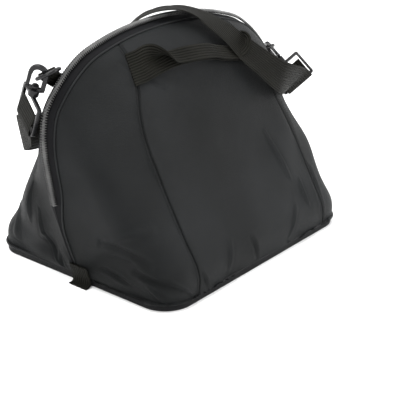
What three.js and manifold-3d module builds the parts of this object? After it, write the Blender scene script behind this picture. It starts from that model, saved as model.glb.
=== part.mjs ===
// Motorcycle helmet bag: a domed half-moon bag of black nylon on a flat, rounded base. One zipper runs as an
// arch from side to side, a grab handle is sewn across the front, and a webbing shoulder strap hangs on two
// snap hooks.
// Millimetres, +Z up, the front towards -Y, the origin at the centre of the base's underside.
import * as THREE from 'three';
import { mergeVertices } from 'three/addons/utils/BufferGeometryUtils.js';
import Module from 'manifold-3d';

const wasm = await Module();
wasm.setup();

// Driving dimensions of the base
const BASE_WIDTH = 322;
const BASE_DEPTH = 272;
const BASE_CORNER = 34;
const BASE_SHEET = 3;
const BAND_HEIGHT = 9;
const BAND_WALL = 3;
const BAND_INSET = 1.5;

// Driving dimensions of the domed shell
const ARCH_HEIGHT = 258;
const ARCH_WIDTH = 374;
const ARCH_SETBACK = -5;
const ARCH_LEAN = 13;
const CLOTH = 2;
const CLEARANCE = 0.3;
const SEAM_GAP = 0.6;

// Driving dimensions of the zipper and its edges
const TAPE_REACH = 12;
const TAPE_TUCKED = 2.5;
const TAPE_THICKNESS = 1.2;
const TAPE_SLIT = 1;
const COIL_WIDTH = 7.5;
const COIL_HEIGHT = 2.8;
const PIPING_DIAMETER = 2.6;

// Half-width of the zipper arch at each height, as shares of half of ARCH_WIDTH and of ARCH_HEIGHT
const ARCH_OUTLINE = [
  { height: 0.0, half: 0.861 },
  { height: 0.14, half: 0.92 },
  { height: 0.28, half: 0.962 },
  { height: 0.43, half: 0.986 },
  { height: 0.58, half: 1.0 },
  { height: 0.66, half: 0.99 },
  { height: 0.733, half: 0.961 },
  { height: 0.797, half: 0.893 },
  { height: 0.86, half: 0.797 },
  { height: 0.915, half: 0.679 },
  { height: 0.951, half: 0.53 },
  { height: 0.977, half: 0.37 },
  { height: 0.993, half: 0.19 },
  { height: 1.0, half: 0.0 },
];

// How far the front wall has come forward at each height: shares of the wall's height and of its whole reach
const FRONT_PROFILE = [
  { height: 0.0, reach: 1.0 },
  { height: 0.08, reach: 0.995 },
  { height: 0.16, reach: 0.96 },
  { height: 0.27, reach: 0.87 },
  { height: 0.38, reach: 0.775 },
  { height: 0.53, reach: 0.64 },
  { height: 0.66, reach: 0.52 },
  { height: 0.81, reach: 0.4 },
  { height: 0.885, reach: 0.31 },
  { height: 0.94, reach: 0.215 },
  { height: 0.975, reach: 0.12 },
  { height: 1.0, reach: 0.0 },
];

// The same for the back wall, which hangs slacker
const BACK_PROFILE = [
  { height: 0.0, reach: 1.0 },
  { height: 0.1, reach: 0.97 },
  { height: 0.2, reach: 0.85 },
  { height: 0.35, reach: 0.66 },
  { height: 0.5, reach: 0.52 },
  { height: 0.65, reach: 0.41 },
  { height: 0.8, reach: 0.31 },
  { height: 0.9, reach: 0.22 },
  { height: 0.96, reach: 0.13 },
  { height: 1.0, reach: 0.0 },
];

// Where the side seam of the front runs: share of the arch's length at each share of the way down
const SEAM_LINE = [
  { down: 0.0, along: 0.385 },
  { down: 0.15, along: 0.363 },
  { down: 0.29, along: 0.334 },
  { down: 0.53, along: 0.312 },
  { down: 0.78, along: 0.297 },
  { down: 1.0, along: 0.288 },
];

// Shape of the lower belly of the walls
const SWELL = 2.5;
const SWELL_LEVEL = 0.11;
const SWELL_RUN = 0.09;
const SWELL_FADE = 0.08;
const TOP_FADE = 0.04;

// Where the cloth, the tapes and the coil end, as shares of the arch's length
const FOOT_SHARE = 0.02;
const COIL_END = 0.115;
const TAPE_NARROW = 0.07;
const TAPE_FULL = 0.15;

// Columns of the walls: one gore's and the centre panel's
const GORE_COLUMNS = 14;
const CENTRE_COLUMNS = 12;

// Webbing: its thickness, the strap's width and the handle's width where it lies flat
const WEBBING = 1.6;
const STRAP_WIDTH = 38;
const STRAP_SPLIT = 2;
const HANDLE_WIDTH = 38;
const HANDLE_DROP = 58;
const HANDLE_LIFT = 14;
const HANDLE_CLEARANCE = 0.5;

// The handle from its left end to its right: share of the way across, width and drop as shares of its flat
// width, how far it stands off as a share of its lift, and how many layers lie on each other
const HANDLE_SECTIONS = [
  { share: 0.0, width: 1.0, drop: -0.28, lift: 0.0, layers: 1 },
  { share: 0.08, width: 1.0, drop: -0.2, lift: 0.06, layers: 1 },
  { share: 0.16, width: 0.82, drop: -0.08, lift: 0.3, layers: 1.4 },
  { share: 0.26, width: 0.55, drop: 0.04, lift: 0.6, layers: 2.2 },
  { share: 0.38, width: 0.5, drop: 0.14, lift: 0.85, layers: 2.2 },
  { share: 0.5, width: 0.5, drop: 0.22, lift: 0.8, layers: 2.2 },
  { share: 0.62, width: 0.5, drop: 0.28, lift: 0.35, layers: 2.2 },
  { share: 0.74, width: 0.55, drop: 0.3, lift: 0.1, layers: 2.2 },
  { share: 0.84, width: 0.82, drop: 0.2, lift: 0.04, layers: 1.4 },
  { share: 0.92, width: 1.0, drop: 0.05, lift: 0.02, layers: 1 },
  { share: 1.0, width: 1.0, drop: -0.1, lift: 0.0, layers: 1 },
];

// Webbing tabs at the feet of the zipper
const END_TAB_WIDTH = 27;
const END_TAB_REACH = 11;
const END_TAB_HEIGHT = 24;
const END_TAB_LEAN = 4.6;
const END_TAB_SETBACK = -9;

// D-rings and their tabs
const RING_STOCK = 4;
const RING_DEPTH = 20;
const RING_SETBACK = 5;
const TAB_WIDTH = 18;
const TAB_STRAIGHT = 0.8;

// Snap hooks: the eye, the barrel below it, the gate and the swivel post
const EYE_WIDTH = 20;
const EYE_HEIGHT = 26;
const EYE_STOCK = 4.5;
const HOOK_THICKNESS = 4;
const BARREL_RADIUS = 5.5;
const BARREL_LENGTH = 10;
const GATE_WIDTH = 3.8;
const GATE_NOSE = 1.5;
const POST_RADIUS = 2.6;
const POST_HEAD_RADIUS = 3.7;
const POST_HEAD = 1.8;
const HOOK_DROP = 36;

// Strap loops on the swivel posts
const LOOP_WIDTH = 47;
const LOOP_DEPTH = 32;
const LOOP_STOCK = 3.4;

// Sliders and pulls
const SLIDER_WIDTH = 11;
const SLIDER_LENGTH = 13;
const SLIDER_WALL = 1.2;
const BRIDGE_LENGTH = 10;
const BRIDGE_HEIGHT = 3.6;
const BRIDGE_STOCK = 1.2;
const PULL_WIDTH = 7;
const PULL_LENGTH = 19;
const PULL_BAR = 1.4;
const PULL_EYE = 4.8;
const SLIDER_PLACES = [0.836, 0.869];

// Where each ring's tab leaves the back seam, the way and the length it rises, and the ways the ring points and
// faces. The hook's eye takes the ring's bow at a turn from the bow's middle in degrees, that much below the
// eye's top; the hook's and the strap loop's own directions follow.
const RING_PLACES = {
  left: {
    along: 0.295,
    rise: [-0.76, -0.45, 0.465],
    length: 27,
    outward: [-0.62, -0.75, 0.22],
    bar: [0.78, -0.5, 0.35],
    bowTurn: -72,
    drop: 14,
    hang: [0.03, 0.46, -0.885],
    hookFace: [-0.7, -0.66, 0.2],
    loopAcross: [-0.35, -0.83, -0.43],
  },
  right: {
    along: 0.765,
    rise: [1, 0, 0],
    length: 19.5,
    outward: [0.95, -0.25, 0.2],
    bar: [0.32, 0.78, -0.54],
    bowTurn: -78,
    drop: EYE_STOCK / 2 + RING_STOCK / 2 + CLEARANCE,
    hang: [-0.05, -0.8, -0.6],
    hookFace: [0.76, -0.4, 0.45],
    loopAcross: [0.545, -0.64, 0.54],
  },
};

// The strap's way round each loop's far bar, from its cut end: out of the loop's plane and up to the hook
const STRAP_END_LEFT = [
  { out: -1.4, up: 23 },
  { out: -2.8, up: 12 },
  { out: -3.7, up: 3 },
  { out: -2.8, up: -2.4 },
  { out: -0.6, up: -4.6 },
  { out: 1.4, up: -10 },
];
const STRAP_END_RIGHT = [
  { out: -0.6, up: 24 },
  { out: 0.6, up: 14 },
  { out: 2.6, up: 6 },
  { out: 3.7, up: 1.5 },
  { out: 3.0, up: -2.2 },
  { out: 0, up: -3.7 },
  { out: -5, up: -3.4 },
  { out: -14, up: -2 },
];

// The strap's long run from the left loop, behind the bag, over its top and down to the right loop: places as
// shares of half the arch's width, half the base's depth and the arch's height, and the way its width lies
const STRAP_RUN = [
  { across: -0.835, forward: 0.56, up: 0.58, width: [-0.2, -0.45, -0.87] },
  { across: -0.62, forward: 0.78, up: 0.52, width: [-0.2, -0.4, -0.9] },
  { across: -0.42, forward: 0.9, up: 0.5, width: [-0.3, -0.2, -0.9] },
  { across: -0.25, forward: 0.84, up: 0.58, width: [-0.65, -0.15, -0.7] },
  { across: -0.18, forward: 0.64, up: 0.74, width: [-0.9, -0.2, -0.4] },
  { across: -0.15, forward: 0.43, up: 0.88, width: [-0.9, -0.4, -0.1] },
  { across: -0.107, forward: 0.22, up: 0.99, width: [-0.78, -0.62, 0.05] },
  { across: -0.05, forward: 0.11, up: 1.025, width: [-0.64, -0.76, 0.11] },
  { across: 0.065, forward: 0.005, up: 1.032, width: [-0.5, -0.87, 0.04] },
  { across: 0.2, forward: -0.1, up: 0.995, width: [-0.6, -0.74, -0.2] },
  { across: 0.262, forward: -0.275, up: 0.935, width: [-0.8, -0.5, -0.3] },
  { across: 0.355, forward: -0.402, up: 0.848, width: [-0.78, -0.34, -0.48] },
  { across: 0.436, forward: -0.486, up: 0.786, width: [-0.66, -0.32, -0.6] },
  { across: 0.583, forward: -0.555, up: 0.7, width: [-0.55, -0.14, -0.78] },
];

// Small steps for measuring the shell
const RIB_STEPS = 48;
const STEP_ALONG = 0.002;
const STEP_DOWN = 1;

// Soft folds and dents of the cloth: place and size as shares of the arch and of the wall, depth outwards
const FOLDS = [
  { face: 'front', along: 0.16, height: 0.3, breadth: 0.06, run: 0.12, lean: 30, depth: -5 },
  { face: 'front', along: 0.762, height: 0.74, breadth: 0.08, run: 0.2, lean: 0, depth: -17 },
  { face: 'front', along: 0.8, height: 0.25, breadth: 0.08, run: 0.2, lean: 0, depth: -7 },
  { face: 'back', along: 0.09, height: 0.35, breadth: 0.03, run: 0.25, lean: 0, depth: -7 },
  { face: 'back', along: 0.22, height: 0.2, breadth: 0.08, run: 0.2, lean: 0, depth: -7 },
  { face: 'back', along: 0.235, height: 0.74, breadth: 0.06, run: 0.2, lean: 0, depth: -14 },
];

const FOOT = BAND_HEIGHT + CLEARANCE;

// Reads a table by a smooth curve through its rows
function slopeAt(rows, from, to, row) {
  const before = rows[Math.max(row - 1, 0)];
  const after = rows[Math.min(row + 1, rows.length - 1)];
  return (after[to] - before[to]) / (after[from] - before[from]);
}

function readTable(rows, from, to, value) {
  let row = 0;
  while (row < rows.length - 2 && value > rows[row + 1][from]) row += 1;
  const a = rows[row];
  const b = rows[row + 1];
  const span = b[from] - a[from];
  const t = THREE.MathUtils.clamp((value - a[from]) / span, 0, 1);
  const rise = slopeAt(rows, from, to, row) * span;
  const fall = slopeAt(rows, from, to, row + 1) * span;
  const bend = t * t * (3 - 2 * t);
  return a[to] * (1 - bend) + b[to] * bend + rise * t * (1 - t) * (1 - t) - fall * t * t * (1 - t);
}

// The zipper's line over the bag, from the left foot to the right foot
function makeArch() {
  const place = (row, side) => new THREE.Vector3(
    side * row.half * ARCH_WIDTH / 2,
    ARCH_SETBACK + ARCH_LEAN * row.height,
    FOOT + (ARCH_HEIGHT - FOOT) * row.height,
  );
  const left = ARCH_OUTLINE.map((row) => place(row, -1));
  const right = ARCH_OUTLINE.slice(0, -1).reverse().map((row) => place(row, 1));
  const curve = new THREE.CatmullRomCurve3([...left, ...right], false, 'centripetal');
  curve.arcLengthDivisions = 600;
  return curve;
}

// One half of the base's outline, from the left foot of the arch round to its right foot
function makeBaseHalf(side) {
  const path = new THREE.Path();
  const edge = side * BASE_DEPTH / 2;
  const wide = BASE_WIDTH / 2;
  const bend = edge - side * BASE_CORNER;
  path.moveTo(-wide, ARCH_SETBACK);
  path.lineTo(-wide, bend);
  path.absarc(-wide + BASE_CORNER, bend, BASE_CORNER, Math.PI, side * Math.PI / 2, side > 0);
  path.lineTo(wide - BASE_CORNER, edge);
  path.absarc(wide - BASE_CORNER, bend, BASE_CORNER, side * Math.PI / 2, 0, side > 0);
  path.lineTo(wide, ARCH_SETBACK);
  return path;
}

const arch = makeArch();
const faces = {
  front: { outline: makeBaseHalf(-1), profile: FRONT_PROFILE, side: -1 },
  back: { outline: makeBaseHalf(1), profile: BACK_PROFILE, side: 1 },
};

// Outward direction of the base's outline at a share of its length
function outlineNormal(face, along) {
  const tangent = face.outline.getTangentAt(THREE.MathUtils.clamp(along, 0.0005, 0.9995));
  return new THREE.Vector3(-face.side * tangent.y, face.side * tangent.x, 0);
}

// Dents and folds of the cloth, as a sum of soft bumps
function foldDepth(faceName, along, height) {
  let depth = 0;
  for (const fold of FOLDS) {
    if (fold.face !== faceName) continue;
    const turn = THREE.MathUtils.degToRad(fold.lean);
    const across = (along - fold.along) * Math.cos(turn) + (height - fold.height) * Math.sin(turn);
    const down = (height - fold.height) * Math.cos(turn) - (along - fold.along) * Math.sin(turn);
    depth += fold.depth * Math.exp(-((across / fold.breadth) ** 2) - (down / fold.run) ** 2);
  }
  return depth;
}

function softStep(value, low, high) {
  const t = THREE.MathUtils.clamp((value - low) / (high - low), 0, 1);
  return t * t * (3 - 2 * t);
}

// A point of the shell, by its share along the arch and its share of the wall's height
function shellAt(faceName, along, height) {
  const face = faces[faceName];
  const top = arch.getPointAt(along);
  const foot = face.outline.getPointAt(along);
  const reach = readTable(face.profile, 'height', 'reach', height);
  const fade = softStep(Math.min(along, 1 - along), 0, SWELL_FADE);
  const belly = SWELL * Math.exp(-(((height - SWELL_LEVEL) / SWELL_RUN) ** 2));
  const push = fade * (belly + foldDepth(faceName, along, height)) * softStep(1 - height, 0, TOP_FADE);
  const out = outlineNormal(face, along);
  return new THREE.Vector3(
    THREE.MathUtils.lerp(top.x, foot.x, reach) + out.x * push,
    THREE.MathUtils.lerp(top.y, foot.y, reach) + out.y * push,
    FOOT + (top.z - FOOT) * height,
  );
}

// The way down a wall from the zipper, measured along the cloth
const ribs = new Map();
function ribAt(faceName, along) {
  const key = `${faceName} ${along.toFixed(6)}`;
  if (ribs.has(key)) return ribs.get(key);
  const rib = [{ height: 1, distance: 0 }];
  let last = shellAt(faceName, along, 1);
  for (let step = 1; step <= RIB_STEPS; step += 1) {
    const height = 1 - (step / RIB_STEPS) ** 1.7;
    const point = shellAt(faceName, along, height);
    rib.push({ height, distance: rib[step - 1].distance + point.distanceTo(last) });
    last = point;
  }
  ribs.set(key, rib);
  return rib;
}

function ribLength(faceName, along) {
  return ribAt(faceName, along)[RIB_STEPS].distance;
}

function downShell(faceName, along, distance) {
  const rib = ribAt(faceName, along);
  let step = 0;
  while (step < RIB_STEPS - 1 && distance > rib[step + 1].distance) step += 1;
  const t = (distance - rib[step].distance) / (rib[step + 1].distance - rib[step].distance);
  return shellAt(faceName, along, THREE.MathUtils.lerp(rib[step].height, rib[step + 1].height, t));
}

// Outward normal of the shell, from small steps along it and down it
function shellNormal(faceName, along, distance) {
  const sideways = downShell(faceName, along + STEP_ALONG, distance)
    .sub(downShell(faceName, along - STEP_ALONG, distance));
  const down = downShell(faceName, along, distance + STEP_DOWN)
    .sub(downShell(faceName, along, Math.max(distance - STEP_DOWN, 0)));
  return down.cross(sideways).multiplyScalar(-faces[faceName].side).normalize();
}

// A closed mesh from vertices and triangles, turned inside in if its volume comes out negative
function closedGeometry(points, triangles) {
  let volume = 0;
  for (const [a, b, c] of triangles) {
    volume += points[a].dot(new THREE.Vector3().crossVectors(points[b], points[c]));
  }
  const turned = volume < 0 ? triangles.map(([a, b, c]) => [a, c, b]) : triangles;
  const geometry = new THREE.BufferGeometry();
  geometry.setAttribute('position', new THREE.Float32BufferAttribute(points.flatMap((p) => p.toArray()), 3));
  geometry.setIndex(turned.flat());
  geometry.computeVertexNormals();
  return geometry;
}

// A sheet of cloth with an outer and an inner face, from a grid of pairs of points
function makeSheet(columns, rows, pairAt) {
  const points = [];
  const at = (column, row, inner) => 2 * (row * (columns + 1) + column) + inner;
  for (let row = 0; row <= rows; row += 1) {
    for (let column = 0; column <= columns; column += 1) points.push(...pairAt(column / columns, row / rows));
  }
  const triangles = [];
  const quad = (a, b, c, d) => triangles.push([a, b, c], [a, c, d]);
  for (let row = 0; row < rows; row += 1) {
    for (let column = 0; column < columns; column += 1) {
      quad(at(column, row, 0), at(column, row + 1, 0), at(column + 1, row + 1, 0), at(column + 1, row, 0));
      quad(at(column, row, 1), at(column + 1, row, 1), at(column + 1, row + 1, 1), at(column, row + 1, 1));
    }
  }
  for (let column = 0; column < columns; column += 1) {
    quad(at(column, 0, 0), at(column + 1, 0, 0), at(column + 1, 0, 1), at(column, 0, 1));
    quad(at(column, rows, 0), at(column, rows, 1), at(column + 1, rows, 1), at(column + 1, rows, 0));
  }
  for (let row = 0; row < rows; row += 1) {
    quad(at(0, row, 0), at(0, row, 1), at(0, row + 1, 1), at(0, row + 1, 0));
    quad(at(columns, row, 0), at(columns, row + 1, 0), at(columns, row + 1, 1), at(columns, row, 1));
  }
  return closedGeometry(points, triangles);
}

// A cloth wall of the shell between two edges, from one distance below the zipper to another
function makeWall({ face, left, right, from, to, columns, rows, thickness }) {
  return makeSheet(columns, rows, (s, t) => {
    const along = THREE.MathUtils.lerp(left(t), right(t), s);
    const distance = THREE.MathUtils.lerp(from(face, along), to(face, along), t);
    const outer = downShell(face, along, distance);
    const inner = outer.clone().addScaledVector(shellNormal(face, along, distance), -thickness);
    return [outer, inner];
  });
}

// A solid drawn through rings of points, open with two caps or closed on itself
function makeLoft(rings, looped = false) {
  const count = rings[0].length;
  const points = rings.flat();
  const triangles = [];
  const spans = looped ? rings.length : rings.length - 1;
  for (let ring = 0; ring < spans; ring += 1) {
    const next = (ring + 1) % rings.length;
    for (let side = 0; side < count; side += 1) {
      const other = (side + 1) % count;
      const [a, b] = [ring * count + side, ring * count + other];
      const [c, d] = [next * count + other, next * count + side];
      triangles.push([a, b, c], [a, c, d]);
    }
  }
  if (!looped) {
    const last = (rings.length - 1) * count;
    for (let side = 1; side < count - 1; side += 1) {
      triangles.push([0, side + 1, side], [last, last + side, last + side + 1]);
    }
  }
  return closedGeometry(points, triangles);
}

// A ring of points round a centre, in the plane of two directions
function roundRing(centre, u, v, radiusU, radiusV, sides) {
  const ring = [];
  for (let side = 0; side < sides; side += 1) {
    const turn = 2 * Math.PI * (side + 0.5) / sides;
    ring.push(centre.clone()
      .addScaledVector(u, radiusU * Math.cos(turn))
      .addScaledVector(v, radiusV * Math.sin(turn)));
  }
  return ring;
}

// A flat ring of four points for webbing: across its width and through its thickness
function webbingRing(centre, across, through, width, thickness) {
  const corner = (a, b) => centre.clone()
    .addScaledVector(across, a * width / 2)
    .addScaledVector(through, b * thickness / 2);
  return [corner(-1, -1), corner(1, -1), corner(1, 1), corner(-1, 1)];
}

// The arch's own frame at a share of its length: its tangent, the way across it and the way out
function archFrame(along) {
  const tangent = arch.getTangentAt(along);
  const front = downShell('front', along, STEP_DOWN).sub(arch.getPointAt(along));
  const back = downShell('back', along, STEP_DOWN).sub(arch.getPointAt(along));
  const across = front.normalize().sub(back.normalize());
  across.addScaledVector(tangent, -across.dot(tangent)).normalize();
  const out = new THREE.Vector3().crossVectors(across, tangent).normalize();
  return { tangent, across, out };
}

// Half-width of the zipper tape that shows: the tape tucks under the walls towards the feet of the arch
function tapeReach(along) {
  const fromFoot = Math.min(along, 1 - along);
  return THREE.MathUtils.lerp(TAPE_TUCKED, TAPE_REACH, softStep(fromFoot, TAPE_NARROW, TAPE_FULL));
}

// Named meshes with their finishes
const bag = new THREE.Group();
const FINISHES = {
  nylon: { color: 0x1f2021, roughness: 0.62, metalness: 0 },
  webbing: { color: 0x1c1c19, roughness: 0.75, metalness: 0 },
  zipper: { color: 0x17181a, roughness: 0.5, metalness: 0 },
  plastic: { color: 0x141416, roughness: 0.35, metalness: 0 },
  metal: { color: 0xb9bcc0, roughness: 0.3, metalness: 1 },
};

function addPiece(name, geometry, finish, parent = bag) {
  const mesh = new THREE.Mesh(geometry, new THREE.MeshStandardMaterial(FINISHES[finish]));
  mesh.name = name;
  parent.add(mesh);
  return mesh;
}

// Base: a floor sheet with an upstanding band round its edge
function makeBase() {
  const count = 72;
  const rings = { under: [], top: [], inside: [], floor: [] };
  for (let step = 0; step < count; step += 1) {
    const share = step / count;
    const onFront = share < 0.5;
    const face = onFront ? faces.front : faces.back;
    const along = onFront ? share * 2 : 2 - share * 2;
    const edge = face.outline.getPointAt(along);
    const out = outlineNormal(face, along);
    const at = (inset, z) => new THREE.Vector3(edge.x - out.x * inset, edge.y - out.y * inset, z);
    rings.under.push(at(BAND_INSET, 0));
    rings.top.push(at(BAND_INSET, BAND_HEIGHT));
    rings.inside.push(at(BAND_INSET + BAND_WALL, BAND_HEIGHT));
    rings.floor.push(at(BAND_INSET + BAND_WALL, BASE_SHEET));
  }
  const order = [rings.under, rings.top, rings.inside, rings.floor];
  const points = order.flat();
  const triangles = [];
  for (let level = 0; level < 3; level += 1) {
    for (let step = 0; step < count; step += 1) {
      const next = (step + 1) % count;
      const [a, b] = [level * count + step, level * count + next];
      triangles.push([a, b, b + count], [a, b + count, a + count]);
    }
  }
  const under = points.push(new THREE.Vector3(0, 0, 0)) - 1;
  const floor = points.push(new THREE.Vector3(0, 0, BASE_SHEET)) - 1;
  for (let step = 0; step < count; step += 1) {
    const next = (step + 1) % count;
    triangles.push([under, next, step], [floor, 3 * count + step, 3 * count + next]);
  }
  return closedGeometry(points, triangles);
}
addPiece('base_panel', makeBase(), 'nylon');

// Cloth panels, in front of the zipper and behind it
const archLength = arch.getLength();
const seamAlong = (t) => readTable(SEAM_LINE, 'down', 'along', t);
const halfSeam = SEAM_GAP / 2 / archLength;
const frontTop = (face, along) => tapeReach(along) + PIPING_DIAMETER + 2 * CLEARANCE;
const panel = { from: frontTop, to: ribLength, rows: 12, thickness: CLOTH };
addPiece('front_left_gore', makeWall({
  ...panel,
  face: 'front',
  columns: GORE_COLUMNS,
  left: () => FOOT_SHARE,
  right: (t) => seamAlong(t) - halfSeam,
}), 'nylon');
addPiece('front_centre_panel', makeWall({
  ...panel,
  face: 'front',
  columns: CENTRE_COLUMNS,
  left: (t) => seamAlong(t) + halfSeam,
  right: (t) => 1 - seamAlong(t) - halfSeam,
}), 'nylon');
addPiece('front_right_gore', makeWall({
  ...panel,
  face: 'front',
  columns: GORE_COLUMNS,
  left: (t) => 1 - seamAlong(t) + halfSeam,
  right: () => 1 - FOOT_SHARE,
}), 'nylon');

// Stations along the arch, shared by every piece that follows it
const stations = [];
for (let step = 0; step < GORE_COLUMNS; step += 1) {
  stations.push(THREE.MathUtils.lerp(FOOT_SHARE, seamAlong(0), step / GORE_COLUMNS));
}
for (let step = 0; step <= CENTRE_COLUMNS / 2; step += 1) {
  stations.push(THREE.MathUtils.lerp(seamAlong(0), 0.5, 2 * step / CENTRE_COLUMNS));
}
stations.push(...stations.slice(0, -1).reverse().map((along) => 1 - along));

const stationAt = (s) => stations[Math.round(s * (stations.length - 1))];

const BACK_ROWS = 10;
addPiece('back_panel', makeSheet(stations.length - 1, BACK_ROWS, (s, t) => {
  const along = stationAt(s);
  const distance = THREE.MathUtils.lerp(tapeReach(along) + CLEARANCE, ribLength('back', along), t);
  const outer = downShell('back', along, distance);
  return [outer, outer.clone().addScaledVector(shellNormal('back', along, distance), -CLOTH)];
}), 'nylon');

// Zipper: two tapes with a slit between them, and the closed coil over the slit
for (const face of ['front', 'back']) {
  addPiece(`zipper_tape_${face}`, makeSheet(stations.length - 1, 1, (s, t) => {
    const along = stationAt(s);
    const distance = THREE.MathUtils.lerp(TAPE_SLIT / 2, tapeReach(along), t);
    const outer = downShell(face, along, distance);
    const inward = t > 0 ? shellNormal(face, along, distance) : archFrame(along).out;
    return [outer, outer.clone().addScaledVector(inward, -TAPE_THICKNESS)];
  }), 'zipper');
}

const COIL_SECTION = [[-1, 0], [1, 0], [0.9, 0.55], [0.45, 1], [-0.45, 1], [-0.9, 0.55]];
const coilStations = stations.filter((along) => along > COIL_END && along < 1 - COIL_END);
addPiece('zipper_coil', makeLoft(coilStations.map((along) => {
  const { across, out } = archFrame(along);
  const centre = arch.getPointAt(along).addScaledVector(out, CLEARANCE);
  return COIL_SECTION.map(([a, b]) => centre.clone()
    .addScaledVector(across, a * COIL_WIDTH / 2)
    .addScaledVector(out, b * COIL_HEIGHT));
})), 'zipper');

addPiece('front_piping', makeLoft(stations.map((along) => {
  const distance = tapeReach(along) + CLEARANCE + PIPING_DIAMETER / 2;
  const centre = downShell('front', along, distance);
  const out = shellNormal('front', along, distance);
  const down = downShell('front', along, distance + STEP_DOWN).sub(centre).normalize();
  return roundRing(centre, down, out, PIPING_DIAMETER / 2, PIPING_DIAMETER / 2, 6);
})), 'nylon');

// Joins, and cuts, closed meshes
function toSolid(geometry) {
  const bare = geometry.clone();
  bare.deleteAttribute('normal');
  bare.deleteAttribute('uv');
  const merged = mergeVertices(bare, 1e-4);
  return new wasm.Manifold(new wasm.Mesh({
    numProp: 3,
    vertProperties: new Float32Array(merged.attributes.position.array),
    triVerts: new Uint32Array(merged.index.array),
  }));
}

function fromSolid(solid) {
  const mesh = solid.getMesh();
  const geometry = new THREE.BufferGeometry();
  geometry.setAttribute('position', new THREE.BufferAttribute(new Float32Array(mesh.vertProperties), 3));
  geometry.setIndex(new THREE.BufferAttribute(new Uint32Array(mesh.triVerts), 1));
  geometry.computeVertexNormals();
  return geometry;
}

// A plate cut from a shape drawn in X and Z, its thickness centred on Y
function makePlate(shape, thickness, curveSegments = 6) {
  const geometry = new THREE.ExtrudeGeometry(shape, { depth: thickness, bevelEnabled: false, curveSegments });
  return geometry.rotateX(Math.PI / 2).translate(0, thickness / 2, 0);
}

// A round post standing along Z between two levels
function makePost(radius, low, high, sides = 12) {
  return new THREE.CylinderGeometry(radius, radius, high - low, sides)
    .rotateX(Math.PI / 2)
    .translate(0, 0, (low + high) / 2);
}

// A group whose axes are three directions; the second is squared to the first
function makeFrame(origin, zAxis, xHint) {
  const z = zAxis.clone().normalize();
  const x = xHint.clone().addScaledVector(z, -xHint.dot(z)).normalize();
  const y = new THREE.Vector3().crossVectors(z, x);
  const group = new THREE.Group();
  group.applyMatrix4(new THREE.Matrix4().makeBasis(x, y, z).setPosition(origin));
  bag.add(group);
  return group;
}

// D-ring, its straight bar along Y and its bow towards X
const RING_HALF = TAB_WIDTH / 2 + 4 * CLEARANCE + RING_STOCK / 2;
function bowAt(degrees) {
  const turn = THREE.MathUtils.degToRad(degrees);
  return new THREE.Vector3(RING_DEPTH * Math.max(Math.cos(turn), 0) ** 0.8, RING_HALF * Math.sin(turn), 0);
}

function makeRing() {
  const points = [];
  for (let step = 0; step <= 12; step += 1) points.push(bowAt(90 - 15 * step));
  for (let step = 1; step < 4; step += 1) points.push(new THREE.Vector3(0, RING_HALF * (step / 2 - 1), 0));
  const normal = new THREE.Vector3(0, 0, 1);
  return makeLoft(points.map((point, index) => {
    const before = points[(index + points.length - 1) % points.length];
    const after = points[(index + 1) % points.length];
    const side = after.clone().sub(before).normalize().cross(normal);
    return roundRing(point, side, normal, RING_STOCK / 2, RING_STOCK / 2, 6);
  }), true);
}

// Webbing tab: from the seam up, round the D-ring's bar and back, turning from the seam's way to the bar's
function makeRingTab(root, bar, seamWay, barWay) {
  const rise = bar.clone().sub(root).normalize();
  const radius = RING_STOCK / 2 + CLEARANCE + WEBBING / 2;
  const faceAt = (width) => new THREE.Vector3().crossVectors(rise, width).normalize();
  const layerAt = (share, side) => {
    const width = seamWay.clone().lerp(barWay, share).normalize();
    const face = faceAt(width);
    const spread = THREE.MathUtils.lerp(WEBBING / 2 + CLEARANCE / 2, radius, share);
    const centre = root.clone().lerp(bar, share * TAB_STRAIGHT).addScaledVector(face, side * spread);
    return webbingRing(centre, width, face.clone().multiplyScalar(side), TAB_WIDTH, WEBBING);
  };
  const rings = [layerAt(0, 1), layerAt(0.5, 1)];
  for (let step = 0; step <= 8; step += 1) {
    const turn = Math.PI * step / 8;
    const out = faceAt(barWay).multiplyScalar(Math.cos(turn)).addScaledVector(rise, Math.sin(turn));
    rings.push(webbingRing(bar.clone().addScaledVector(out, radius), barWay, out, TAB_WIDTH, WEBBING));
  }
  rings.push(layerAt(0.5, -1), layerAt(0, -1));
  return makeLoft(rings);
}

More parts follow.
